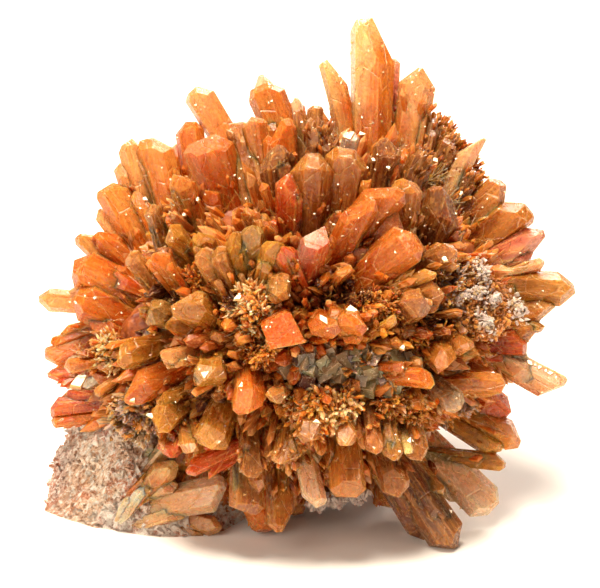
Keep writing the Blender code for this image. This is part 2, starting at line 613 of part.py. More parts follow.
def grow_ball(material, cutters):
    """The ball: its body with every blade of the show face and the filling joined to it, less its neighbours."""
    shown = show_blades()
    growth_mesh = bmesh.new()
    lumps = list(BODY_LUMPS.values())
    body = bmesh.new()
    add_lump(body, lumps[0][:3], lumps[0][3:])
    ball = new_object("creedite_ball", body, material)
    for lump in lumps[1:]:
        add_lump(growth_mesh, lump[:3], lump[3:])
    for blade in shown + filling_blades(shown):
        add_blade(growth_mesh, blade)
    growth = new_cutter("ball_growth", growth_mesh)
    add_boolean(ball, growth, "UNION")
    for cutter in cutters:
        add_boolean(ball, cutter, "DIFFERENCE")
    settle(ball)
    bpy.data.objects.remove(growth)


def grow_rock(material, cutter):
    rock = new_object("matrix_rock", rock_mesh(), material)
    add_boolean(rock, cutter, "DIFFERENCE")
    settle(rock)


def grow_crust(name, material):
    """One crust, and the cutter that clears its bed in the ball."""
    crust = new_object(name, crust_mesh(name), material)
    around = bmesh.new()
    around.from_mesh(crust.data)
    bed = hull_of([vert.co for vert in around.verts])
    around.free()
    swell(bed, PIECE_GAP * MM * 1.3)
    hollow = new_object(f"{name}_join", crust_mesh(name))
    hollow.hide_render = True
    hollow.display_type = "WIRE"
    add_boolean(crust, hollow, "UNION")
    settle(crust)
    bpy.data.objects.remove(hollow)
    return new_cutter(f"{name}_bed", bed)


def grow_side_spray(material):
    """The spray that stands on the rock's toe, its blades joined at their roots, and its socket's cutter."""
    blades = []
    for name, row in SIDE_SPRAY.items():
        blade = named_blade(name, row, tip_depth=row[6])
        blade.length = Vector((row[0] - row[2], row[1] - row[3], row[4])).length * MM + SPRAY_BURIED * MM
        blades.append(blade)
    root, shoots, socket = bmesh.new(), bmesh.new(), bmesh.new()
    add_lump(root, SPRAY_ROOT[:3], SPRAY_ROOT[3:])
    add_lump(socket, SPRAY_ROOT[:3], SPRAY_ROOT[3:], growth=PIECE_GAP)
    for blade in blades:
        add_blade(shoots, blade)
        add_blade(socket, blade, swell=PIECE_GAP * MM)
    spray = new_object("side_spray", root, material)
    growth = new_cutter("spray_growth", shoots)
    add_boolean(spray, growth, "UNION")
    settle(spray)
    bpy.data.objects.remove(growth)
    return new_cutter("spray_socket", socket)


def build():
    for leftover in list(bpy.data.objects):
        bpy.data.objects.remove(leftover)
    creedite = stuff("creedite", (0.80, 0.26, 0.05), 0.25)
    rock = stuff("matrix", (0.62, 0.44, 0.36), 0.85)
    white = stuff("white_druse", (0.85, 0.82, 0.80), 0.35)
    grey = stuff("grey_fluorite", (0.45, 0.38, 0.30), 0.3)
    sockets = grow_side_spray(creedite)
    rock_bed = new_cutter("rock_bed", rock_mesh(growth=PIECE_GAP * MM))
    beds = [
        grow_crust("white_druse_side", white),
        grow_crust("white_druse_under", white),
        grow_crust("grey_cube_band", grey),
    ]
    grow_rock(rock, sockets)
    grow_ball(creedite, [rock_bed, sockets, *beds])
    for cutter in [rock_bed, sockets, *beds]:
        bpy.data.objects.remove(cutter)


build()
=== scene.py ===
"""Looks of the creedite cluster: a ball of clouded orange blades on a wedge of pale matrix, with patches of white
druse and a band of grey cubes. It stands on a plain pale sweep, under soft studio light.

Sizes are in millimetres times MM, and blades are laid out around the ball's heart: across to the right, up along
the show face, and toward the onlooker, who looks down on the cluster by FACE_TILT.
"""

import itertools
import math
import random

import bmesh
import bpy
import numpy as np
from mathutils import Matrix, Vector, noise
from mathutils.bvhtree import BVHTree


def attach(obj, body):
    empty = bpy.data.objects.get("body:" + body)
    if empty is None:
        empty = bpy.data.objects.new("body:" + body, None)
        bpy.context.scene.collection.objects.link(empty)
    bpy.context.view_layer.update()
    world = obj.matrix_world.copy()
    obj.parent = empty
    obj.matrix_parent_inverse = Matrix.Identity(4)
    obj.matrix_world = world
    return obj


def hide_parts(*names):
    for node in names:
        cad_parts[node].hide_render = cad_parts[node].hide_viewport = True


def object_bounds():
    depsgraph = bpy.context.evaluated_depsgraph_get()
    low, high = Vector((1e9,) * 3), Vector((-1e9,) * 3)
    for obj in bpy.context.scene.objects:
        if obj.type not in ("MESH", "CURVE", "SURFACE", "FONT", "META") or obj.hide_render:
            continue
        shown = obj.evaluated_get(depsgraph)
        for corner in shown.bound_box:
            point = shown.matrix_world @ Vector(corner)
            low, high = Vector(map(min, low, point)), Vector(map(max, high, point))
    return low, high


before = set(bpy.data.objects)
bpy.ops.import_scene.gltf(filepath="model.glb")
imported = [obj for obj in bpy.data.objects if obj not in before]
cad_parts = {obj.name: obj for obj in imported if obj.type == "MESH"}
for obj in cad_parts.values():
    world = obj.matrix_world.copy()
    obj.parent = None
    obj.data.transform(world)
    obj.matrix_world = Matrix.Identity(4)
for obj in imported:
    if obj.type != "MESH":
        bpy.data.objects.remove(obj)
cad_box = [list(corner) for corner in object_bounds()]

MM = 0.001
FACE_TILT = math.radians(20)
HEART_PLACE = (-0.26, -0.83, 25.0)
ACROSS = Vector((1, 0, 0))
UPWARD = Vector((0, math.sin(FACE_TILT), math.cos(FACE_TILT)))
TOWARD = Vector((0, -math.cos(FACE_TILT), math.sin(FACE_TILT)))
HEART = Vector(HEART_PLACE) * MM

# The ball: reach of its named tips, and the lumps of its body (middle from the heart, then reach)
TIP_REACH = 29.0
SHOW_FACE_FLATTENING = 0.9
FLOOR_CLEARANCE = 1.2
BODY_LUMPS = {
    "heart_lump": (0.0, 0.0, -0.5, 21.0, 20.5, 18.5),
    "left_shoulder": (-16.0, -4.5, 0.0, 11.0, 10.5, 10.0),
    "right_shoulder": (15.0, 4.0, 2.0, 9.6, 10.0, 9.5),
    "crown_shoulder": (5.0, 13.5, -2.5, 13.5, 9.5, 9.0),
}

# Habit of the blades. Measured widths are drawn a little fuller. Thickness and the head's ridge are shares of the
# width, the foot is a share of the widest section, the twist is in radians, and the bevel is in millimetres
FULLNESS = 1.13
THICKNESS_SHARE = (0.6, 0.85)
RIDGE_OFFSET = 0.2
RIDGE_HALF = (0.06, 0.2)
STEEPNESS = (0.8, 1.7)
UNEVEN_SLOPES = (0.8, 1.2)
TWIST = 0.3
FOOT_TAPER = 0.84
BEVEL = 0.09
# A root ends this far out in the body's lump, as a share of its reach, or at most so many millimetres below the foot
BURIED_DEPTH = 0.72
LONGEST_ROOT = 16.0
ROOT_STEP = 0.5
# Narrower blades beside a main one: their share of its width, of its thickness, and how they fan out
SATELLITE_WIDTH = (0.35, 0.62)
SATELLITE_THICKNESS = (0.6, 0.95)
SATELLITE_FAN = 0.07
# Width in millimetres below which a blade has no narrower ones beside it, or only one in the spray
SLENDER = 2.4
# Ends of the ridge across the head, as shares of the width, and how steeply the head falls off beyond each end.
# Shares grow counter-clockwise from the blade's own direction, as the onlooker sees it. A fifth number below 1
# lays the roof's two broad sides flatter
MARKED_HEADS = {
    "tall_spire": (0.02, 0.34, 1.8, 2.2),
    "spire_squire": (0.1, 0.3, 2.0, 1.4),
    "tan_tower": (-0.06, 0.04, 1.2, 1.0),
    "peach_horn": (-0.08, 0.26, 1.0, 1.3),
    "peach_tower": (-0.14, 0.3, 1.0, 1.6),
    "pale_ghost": (-0.1, 0.1, 1.4, 1.4),
    "cream_sail": (-0.4, -0.3, 1.0, 1.5),
    "twin_left": (-0.1, 0.2, 1.3, 1.5),
    "twin_right": (-0.05, 0.3, 1.0, 1.6),
    "horn_squire": (-0.2, 0.1, 1.2, 1.0),
    "thumb": (-0.1, 0.34, 1.0, 1.6),
    "vee_front": (-0.24, -0.1, 1.4, 1.5),
    "vee_right": (-0.3, 0.1, 1.3, 0.9),
    "vee_back": (-0.3, -0.1, 1.2, 1.1),
    "block": (-0.2, 0.4, 0.9, 1.2),
    "great_left": (-0.1, 0.1, 0.9, 1.1, 0.45),
    "great_right": (-0.1, 0.25, 1.0, 1.2),
    "pink_blade": (-0.1, 0.0, 1.7, 1.9),
    "flame_spike": (0.0, 0.1, 1.9, 1.2),
    "left_point": (-0.1, 0.1, 1.3, 1.3),
    "great_paw": (-0.12, 0.12, 0.9, 0.9),
    "lower_paw": (-0.12, 0.12, 0.9, 0.9),
    "right_point": (-0.1, 0.1, 1.0, 1.4),
    "great_wing": (0.2, 0.4, 0.9, 1.6),
    "lance": (-0.1, 0.2, 0.8, 1.2),
    "long_fang": (-0.2, 0.0, 1.1, 1.5),
    "brown_post": (-0.3, 0.25, 0.9, 0.9),
    "striped_fang": (0.0, 0.25, 1.4, 0.9),
    "orange_apron": (-0.2, 0.2, 0.7, 0.8),
    "spray_long": (0.16, 0.34, 0.8, 1.5),
    "front_foot": (-0.05, 0.05, 0.9, 0.9),
    "rear_foot": (-0.05, 0.05, 0.9, 0.9),
}
# Blades that the photograph doesn't single out: bearings tried, room around each, widths, how far they stand out of
# the body, and how far round the side they grow, where 1 faces the onlooker and -1 the other way
GROWN_BLADES = {
    "filling": (700, math.radians(13.2), (3.6, 6.2), (6.2, 9.2), -1.0),
    "undergrowth": (900, math.radians(7.6), (2.2, 3.2), (3.2, 5.0), 0.1),
}
GROWN_WANDER = 0.34
GROWN_THICKNESS = (0.42, 0.7)
GROWN_FOOT = 6.0
# The gap at the lower right that shows the floor: across, up and reach, and the room that fine growth leaves round it
GLIMPSE = (19.7, -14.8, 1.8)
GLIMPSE_RIM = 0.6
# What stands before a named blade: the share of its length at the foot that doesn't count, the share of its half
# width that does, and how far behind its middle something still counts, in millimetres
OPEN_FOOT_SHARE = 0.28
OPEN_HALF_SHARE = 0.85
HIDDEN_FROM_DEPTH = 1.5
# Places that show the rock, or a dark hollow, which no blade may hide: two ends in view, and half the width
KEPT_OPEN = (
    ((1.6, 4.6, 20.6), (6.6, 4.4, 20.6), 1.6), ((-10.6, 2.6, 19.6), (-9.6, 0.2, 19.6), 1.0),
    ((1.0, -23.4, 0.0), (7.4, -23.2, 0.0), 1.6),
    ((-22.6, -11.6, 2.0), (-21.6, -20.0, 0.0), 3.6), ((-26.4, -14.6, 0.0), (-27.0, -21.0, 0.0), 3.0),
)

# Dark hollows between the blades, where fine growth is tinted dark red-brown as painted shade: across, up and reach
HOLLOWS = (
    (2.4, 4.8, 2.1), (6.2, 4.4, 2.1), (-18.8, 4.4, 2.2), (-21.0, -0.8, 1.8), (-13.0, -10.1, 1.8), (14.8, 11.0, 1.7),
    (16.2, 0.6, 1.3), (-9.8, 3.4, 1.2),
)

# The named blades: tip across and up, foot across and up, how far the tip stands nearer the onlooker than the
# foot, width of the broad face, and tint
CROWN = {
    "tall_spire": (8.9, 40.0, 8.6, 26.0, 0.0, 5.9, "glow"),
    "spire_squire": (3.1, 34.7, 5.0, 27.0, 0.0, 2.9, "glow"),
    "spire_sliver": (11.6, 34.8, 11.4, 27.6, 0.0, 1.6, "pink"),
    "tan_tower": (15.0, 33.5, 13.6, 24.7, 0.5, 4.7, "pale"),
    "crown_splinter": (17.1, 26.8, 15.0, 20.0, 0.5, 2.2, "umber"),
    "ridge_upper": (19.2, 23.9, 15.4, 17.0, 0.5, 3.4, "umber"),
    "ridge_middle": (21.6, 20.4, 17.6, 14.4, 1.0, 3.6, "umber"),
    "ridge_inner": (15.4, 22.6, 12.8, 16.0, 1.5, 3.4, "umber"),
    "cream_sail": (22.3, 24.9, 19.6, 19.6, 0.0, 3.0, "blush"),
    "peach_tower": (-5.6, 31.3, -2.2, 23.4, 0.5, 4.8, "peach"),
    "pale_ghost": (-5.8, 32.7, -4.2, 27.0, -1.0, 2.4, "cream"),
    "glass_splinter": (-1.2, 29.6, -0.6, 25.0, 0.0, 1.5, "cream"),
    "brown_tooth": (1.4, 28.4, 1.0, 24.5, 0.0, 2.0, "tan"),
    "brown_tooth_left": (-0.4, 27.8, -0.2, 23.5, 0.0, 2.4, "cinnamon"),
    "tower_skirt": (-6.6, 26.8, -5.6, 20.0, 1.5, 3.4, "peach"),
    "tower_hem": (-3.0, 26.4, -2.6, 20.0, 1.5, 3.6, "orange"),
    "peach_horn": (-14.4, 30.9, -9.8, 23.4, 0.5, 3.8, "pale"),
    "brown_knob": (-8.8, 26.2, -7.6, 22.0, -1.0, 3.4, "tan"),
    "horn_squire": (-15.1, 26.5, -14.2, 18.6, 1.0, 3.7, "orange"),
    "twin_left": (-22.9, 24.2, -20.4, 14.7, 1.0, 3.5, "pale"),
    "twin_right": (-20.0, 24.3, -17.2, 14.7, 1.5, 4.6, "peach"),
}
LEFT_FLANK = {
    "thumb": (-25.5, 18.3, -21.4, 10.8, 1.0, 4.4, "peach"),
    "thumb_chip": (-27.0, 14.9, -24.4, 11.2, 0.0, 1.8, "pale"),
    "tan_stub": (-29.4, 11.8, -26.2, 8.6, 0.0, 2.4, "tan"),
    "upper_paw": (-27.0, 12.1, -22.0, 7.6, 1.5, 3.6, "orange"),
    "great_paw": (-30.1, 7.8, -21.4, 3.6, 2.0, 5.2, "orange"),
    "lower_paw": (-29.8, 4.0, -21.4, 0.0, 2.5, 5.6, "orange"),
    "left_point": (-34.7, 3.4, -27.0, 2.8, 0.0, 2.9, "pale"),
    "left_leaf": (-31.9, -1.2, -27.0, 0.0, 0.0, 1.8, "peach"),
    "left_fin": (-33.8, -4.6, -27.4, -2.2, 0.0, 3.0, "orange"),
    "left_stub": (-33.5, -6.7, -28.0, -6.2, 0.0, 1.9, "flame"),
    # left_white is tinted white as a painted highlight on cloudy crystal
    "left_white": (-29.8, -8.4, -26.0, -6.4, 0.0, 2.6, "milk_and_painted_highlight"),
    "ember_fin": (-33.2, -10.8, -27.6, -10.2, 0.0, 2.7, "flame"),
    "ember_sliver": (-33.0, -12.6, -27.6, -12.0, 0.0, 1.7, "orange"),
}
UPPER_FACE = {
    "block": (-12.9, 24.0, -9.4, 14.4, 4.0, 6.2, "orange"),
    "block_squire": (-16.3, 19.6, -14.0, 14.0, 3.5, 3.4, "peach"),
    "small_tan": (-19.7, 15.6, -18.4, 11.4, 3.0, 2.3, "tan"),
    "dusk_head": (-4.3, 22.8, -3.4, 18.0, 4.0, 4.0, "dusk"),
    "flame_spike": (-2.0, 19.0, -2.2, 11.8, 5.0, 3.5, "flame"),
    "honey_left": (-17.3, 12.6, -14.6, 8.8, 4.0, 2.9, "honey"),
    "amber_left": (-13.2, 12.1, -11.6, 7.8, 4.5, 2.7, "honey"),
    "pale_honey": (-9.5, 11.7, -8.0, 6.2, 5.0, 3.2, "honey"),
    "olive_head": (-7.0, 12.4, -6.2, 7.6, 5.0, 3.2, "olive"),
    "honey_cut": (-3.6, 10.6, -5.0, 6.2, 6.0, 3.2, "honey"),
    "honey_pair_left": (-13.1, 9.5, -10.2, 4.2, 5.0, 2.7, "tan"),
    "honey_pair_right": (-11.2, 9.8, -8.8, 4.2, 5.0, 2.4, "tan"),
    "orange_stub": (-18.8, 9.5, -16.4, 6.0, 3.5, 2.4, "orange"),
    "tan_chip": (-22.5, 9.2, -19.8, 6.0, 3.0, 2.4, "tan"),
    "great_left": (1.0, 21.4, 0.4, 11.4, 5.5, 5.5, "amber"),
    "great_right": (5.6, 22.6, 3.6, 11.8, 5.0, 5.5, "amber"),
    "dusk_knob": (2.2, 25.2, 2.2, 20.0, 3.0, 4.0, "dusk"),
    # white_tooth is tinted white as a painted highlight
    "white_tooth": (6.1, 25.0, 5.2, 21.2, 3.0, 2.1, "milk_and_painted_highlight"),
    "dusk_tower": (10.8, 24.0, 9.8, 18.4, 3.0, 3.5, "dusk"),
    "vee_back": (11.3, 17.9, 4.8, 10.0, 5.0, 5.0, "orange"),
    "vee_front": (7.8, 16.2, 2.8, 6.2, 7.5, 4.1, "orange"),
    "vee_right": (13.9, 11.2, 6.0, 5.2, 6.5, 5.3, "orange"),
    "pink_blade": (2.0, 12.8, -0.6, 4.8, 7.0, 3.7, "pink"),
    "flame_chip": (-2.9, 10.0, -1.2, 6.0, 5.0, 2.7, "flame"),
    "rust_head": (13.0, 18.8, 12.4, 12.6, 4.0, 4.0, "amber"),
    "rust_drum": (18.6, 17.4, 16.2, 10.8, 5.0, 5.6, "umber"),
}
RIGHT_FLANK = {
    "shoulder_upper": (26.4, 18.2, 20.4, 13.0, 2.0, 4.6, "amber"),
    "shoulder_lower": (28.6, 16.0, 21.2, 10.4, 3.0, 5.4, "amber"),
    "pink_cracked": (31.4, 11.3, 25.2, 8.8, 1.5, 4.5, "pink"),
    "pale_lip": (31.2, 8.0, 27.0, 7.0, 0.0, 1.7, "blush"),
    "right_point": (35.2, 4.6, 25.4, 5.2, 1.0, 4.3, "honey"),
    "right_under": (32.6, 2.4, 25.6, 1.2, 2.0, 3.5, "tan"),
    "right_leaf": (30.0, -0.5, 22.0, -1.4, 4.0, 3.5, "cinnamon"),
    "ember_wing": (29.0, -2.4, 24.0, -2.4, 0.0, 3.4, "flame"),
    "great_wing": (33.4, -8.7, 23.6, -3.4, 2.0, 4.0, "blush"),
    "ember_block": (27.0, -11.2, 20.8, -9.6, 4.0, 4.8, "flame"),
    "low_wing": (28.2, -15.0, 21.4, -12.0, 2.0, 3.8, "peach"),
    "low_chip": (26.2, -17.9, 21.2, -17.4, 0.5, 2.3, "honey"),
    "low_link": (25.4, -16.6, 21.6, -14.2, 1.0, 2.8, "honey"),
    "tan_log": (19.0, 9.6, 13.8, 7.2, 4.0, 2.7, "cinnamon"),
    "gold_bar": (16.4, 6.9, 10.8, 4.6, 3.0, 1.6, "honey"),
    "amber_log": (17.5, 4.4, 11.8, 3.0, 4.0, 2.9, "cinnamon"),
    "peach_face": (14.6, 3.4, 12.0, 1.2, 8.0, 3.8, "cinnamon"),
}
MIDDLE_FACE = {
    "red_diamond": (-2.8, -0.6, -3.2, 0.8, 9.0, 5.0, "ember"),
    "red_twin_left": (2.4, -0.4, 2.2, 1.0, 8.0, 4.0, "orange"),
    "red_twin_right": (5.7, -0.4, 5.0, 1.2, 8.0, 4.7, "orange"),
    "tan_middle": (-2.1, 4.7, -4.5, 5.6, 8.0, 3.4, "tan"),
    "honey_slab": (-15.6, 3.4, -12.0, 0.9, 7.0, 4.6, "honey"),
    "brown_cap": (-19.8, 2.0, -17.2, 1.2, 6.0, 3.5, "olive"),
    "tan_tongue": (-24.0, -4.0, -18.4, -2.6, 4.5, 3.5, "honey"),
    "great_tongue": (-23.2, -8.7, -14.4, -5.2, 5.5, 4.3, "orange"),
    "pale_tongue": (-18.2, -4.2, -13.4, -3.2, 5.0, 2.2, "pale"),
    "honey_prow": (-12.0, -7.0, -11.8, -4.4, 8.0, 4.0, "honey"),
    "honey_keel": (-6.9, -10.8, -7.4, -5.4, 7.5, 4.3, "orange"),
    "orange_sprig": (11.4, 1.0, 8.6, -0.9, 4.0, 1.3, "honey"),
    "orange_brow": (18.2, -4.9, 15.4, -2.4, 7.0, 3.7, "amber"),
    "tan_brow": (20.6, -3.4, 18.6, -1.2, 6.0, 2.7, "tan"),
    "clear_amber": (15.6, -6.6, 9.6, -6.1, 5.0, 2.5, "orange"),
    "grey_nub": (19.8, -10.2, 16.8, -8.0, 4.0, 3.2, "ash"),
}
LOWER_FACE = {
    "honey_stump": (-18.8, -12.2, -15.8, -10.2, 6.0, 3.7, "honey"),
    "honey_drop": (-12.2, -15.6, -10.4, -10.2, 6.0, 4.3, "honey"),
    "ember_drop": (-17.2, -16.8, -16.6, -12.6, 4.0, 2.7, "flame"),
    "tan_drop": (-14.5, -16.2, -15.2, -12.8, 5.0, 2.2, "tan"),
    "ember_rod": (-15.2, -18.4, -10.4, -16.2, 1.0, 2.2, "flame"),
    "brown_post": (-7.4, -24.0, -7.4, -16.0, 2.0, 4.4, "cinnamon"),
    "brown_post_squire": (-6.8, -19.2, -6.8, -14.6, 4.0, 2.9, "cinnamon"),
    "long_fang": (-2.9, -26.4, -3.6, -17.6, 2.0, 3.7, "amber"),
    "striped_fang": (1.5, -23.2, -0.4, -14.8, 3.0, 3.0, "petal"),
    "orange_apron": (5.5, -21.7, 4.8, -14.2, 3.5, 4.6, "amber"),
    "tan_finger_left": (8.8, -16.2, 8.2, -11.4, 4.5, 2.4, "cinnamon"),
    "tan_finger": (11.3, -17.0, 10.4, -12.0, 4.5, 2.7, "tan"),
    "tan_finger_right": (14.5, -17.1, 13.2, -11.4, 4.5, 2.9, "tan"),
    # bright_bar is a slim blade tinted pale gold as a painted highlight
    "bright_bar": (13.2, -16.2, 12.2, -12.4, 5.5, 1.2, "glow"),
    "tan_spade": (5.5, -14.8, 4.2, -10.2, 6.0, 2.5, "tan"),
    "tan_nub": (-3.9, -8.8, -2.6, -8.0, 7.0, 2.3, "tan"),
    "tan_bulb": (-2.6, -17.4, -1.9, -12.6, 6.0, 3.2, "tan"),
    "tuft_stem": (0.9, -14.4, 0.4, -9.6, 7.0, 3.5, "tan"),
    "lance": (24.5, -24.3, 15.2, -15.2, 2.0, 5.0, "petal"),
    "tan_apron": (16.6, -23.0, 11.8, -16.8, 3.0, 4.6, "tan"),
    "rust_apron": (12.1, -21.8, 10.2, -16.4, 3.5, 3.8, "cinnamon"),
}
# How far some tips stand behind the ball's round, in millimetres
SET_BACK = {
    "pale_ghost": 3.2, "brown_knob": 2.5, "great_paw": -4.0, "lower_paw": -4.5, "upper_paw": -1.5, "thumb": -1.0,
    "twin_right": -1.5, "spire_sliver": 1.5,
}
# The two blades whose points stand on the floor, one in front, and one behind in plan from the heart
STANDING_BLADE = (19.4, -28.7, 14.4, -21.4, 1.0, 5.0, "dusk")
REAR_FOOT_PLAN = (13.0, 11.0)
REAR_FOOT_WIDTH = 4.6
REAR_FOOT_FACING = (0.6, 0.8, 0)
STANDING_TIP_HEIGHT = 0.15
# The spray on the rock's toe: as the named blades, and then how near the onlooker each tip stands
SIDE_SPRAY = {
    "spray_long": (-9.8, -21.4, -20.0, -23.4, 3.6, 4.6, "petal", 5.4),
    "spray_honey": (-16.9, -17.4, -20.6, -21.5, 2.2, 3.2, "glow", 5.4),
    "spray_low": (-10.8, -26.4, -17.2, -24.6, 2.4, 2.6, "pale", 2.6),
    "spray_pale": (-17.2, -14.6, -19.8, -18.2, 2.4, 2.2, "cream", 4.6),
    "spray_clear": (-20.6, -20.8, -22.6, -23.6, 2.0, 1.8, "milk_and_painted_highlight", 5.0),
}
SPRAY_BURIED = 3.0
SPRAY_FAN = 0.14
# How a blade of the spray draws in at its root: half width there, and how fast it widens, in shares of the width
ROOT_HALF = 0.1
ROOT_FLARE = 0.75

# Blades overgrown with small crystals, and blades with no offshoots on them and no narrower ones beside them
DRUZY = ("ridge_upper", "ridge_middle", "ridge_inner", "crown_splinter", "tuft_stem", "tan_bulb", "dusk_knob")
SINGLE = (
    "red_diamond", "pink_blade", "pale_ghost", "cream_sail", "left_white", "bright_bar", "peach_horn", "tall_spire",
    "spire_squire", "glass_splinter", "white_tooth",
)
# How far a blade's paler zone lies to one side, where the photograph shows it plainly. On tall_spire that paler side
# is painted glow of light shining through the blade, on great_wing a painted highlight along its upper edge, and on
# pink_blade a painted reflection
COLOUR_SLANT = {
    "tall_spire": 1.4, "spire_squire": 1.0, "pink_blade": 1.2, "great_left": 0.5, "peach_tower": 0.4,
    "great_wing": 1.3,
}
# The broad end face of red_diamond, as corners in millimetres around the blade's own axis
DIAMOND_CORNERS = [(-2.74, 0.62), (-1.49, -2.24), (2.86, -1.37), (1.12, 2.11), (0.25, 2.36)]
# Blades with a face that flashes white, on the head or along the side, and how deep it cuts as a share of the width
FLASHING = {
    "pink_blade": ("head", 0.5), "white_tooth": ("head", 0.36), "great_wing": ("side", 0.3), "lance": ("side", 0.35),
    "left_white": ("head", 0.5), "bright_bar": ("side", 0.4), "right_under": ("side", 0.3),
    "pale_lip": ("side", 0.3), "clear_amber": ("side", 0.3), "striped_fang": ("side", 0.25),
    "spire_squire": ("side", 0.2), "pale_tongue": ("side", 0.25), "spray_long": ("side", 0.2),
    "gold_bar": ("side", 0.3),
}
# Blades cut off by one broad face, and its slopes across and through the blade
FLAT_CUTS = {"clear_amber": (0.5, 0.4), "left_white": (0.9, 0.2)}

# Tints, each from the tip to the root of a crystal
TINTS = {
    "cream": ("#F4D6AE", "#E6B47C"),
    "pale": ("#EBAC6C", "#DA7A26"),
    "peach": ("#E89844", "#D4680E"),
    "orange": ("#E28028", "#CA5604"),
    "flame": ("#DC601A", "#B83602"),
    "ember": ("#F0721E", "#DC4C04"),
    "amber": ("#D08430", "#A45208"),
    "cinnamon": ("#BC783A", "#864414"),
    "umber": ("#A0622A", "#6C340C"),
    "dusk": ("#AE7444", "#7E4216"),
    "tan": ("#CC8C44", "#9C5818"),
    "honey": ("#D49434", "#A45E10"),
    "olive": ("#B08640", "#785016"),
    "pink": ("#EEA88C", "#D65A28"),
    "glow": ("#F8D48C", "#DC7610"),
    "blush": ("#F6C496", "#EC9C56"),
    "petal": ("#FFDEBA", "#FFBC80"),
    "rust": ("#BC5E20", "#82300A"),
    # This white tint stands for cloudy white crystal, and on left_white and white_tooth it is also a painted
    # highlight
    "milk_and_painted_highlight": ("#FFEED8", "#F6D8B2"),
    # This dark red-brown tint is painted shade, given to fine growth in the hollows
    "painted_hollow_shade": ("#4A1C12", "#30100C"),
    "snow": ("#E4D0C2", "#C0A898"),
    "lilac": ("#C0A89E", "#947C70"),
    "smoke": ("#B09672", "#806848"),
    "plum": ("#86625A", "#563830"),
    "moss": ("#B8A878", "#7E6E40"),
    "ash": ("#BA9C76", "#84643E"),
}
FILLING_TINTS = ("orange", "amber", "honey", "peach", "orange", "amber", "cinnamon", "tan")
SPRIG_TINTS = ("orange", "amber", "rust", "peach", "cinnamon", "rust", "pale", "tan")
NEEDLE_TINTS = ("cream", "pale", "tan", "peach", "blush", "cream")

# Small crystals over the whole body, and longer ones that fill the room between the blades: how many, how far their
# bearings stray, how deep they root, how far they lean, lengths, from how far round the side they leave the named
# blades in view and by what margin, and the brightest shade
BETWEEN = {
    "sprigs": (5200, 0.02, 0.8, 0.28, (1.6, 4.2), 0, -0.3, 1.2),
    "spears": (1700, 0.03, 1.0, 0.2, (4.2, 7.6), -0.1, 0.2, 1.15),
}
# Widths of the small ones as shares of the length, and of the long ones in millimetres. Under the ball the long ones
# are shorter
SPRIG_SHARE = (0.32, 0.62)
SPEAR_WIDTH = (1.1, 2.4)
LOW_SPEAR_SHARE = 0.45
# Hair-fine ones
NEEDLE_COUNT = 1600
NEEDLE_LENGTH = (1.2, 3.0)
NEEDLE_WIDTH = (0.08, 0.16)
# What grows on a blade's sides: offshoots for each millimetre of its length, and crumbs for each square millimetre
OFFSHOOTS_PER_MM = 0.9
OFFSHOOT_LENGTH = (1.0, 3.2)
DRUZY_PER_MM = 9.0
DRUZY_LENGTH = (0.8, 2.2)
CRUMBS_PER_MM2 = 0.5
CRUMB_SIZE = (0.12, 0.36)
CRUMB_TINTS = ("cream", "pale", "snow", "peach", "tan", "orange")
# Reach from the heart at which a tuft's place across and up is read
TUFT_REACH = 20.0

# Tufts of pale needles: across, up, reach, and how many
TUFTS = (
    (-14.4, 15.0, 2.4, 130), (-17.0, 17.2, 1.8, 70), (-12.2, 14.2, 1.8, 80), (-6.0, 3.0, 2.4, 160),
    (-7.6, -0.6, 2.4, 110), (-5.4, -2.2, 1.6, 80), (0.4, -11.4, 2.2, 120), (-2.4, -15.6, 1.6, 60),
    (18.6, 21.4, 2.0, 80), (21.0, 18.8, 1.8, 60), (3.6, 20.2, 1.8, 60), (-28.0, -4.4, 2.0, 80),
    (9.6, -9.8, 1.8, 70), (13.4, 25.0, 1.8, 60), (-22.4, 12.6, 1.6, 50),
)

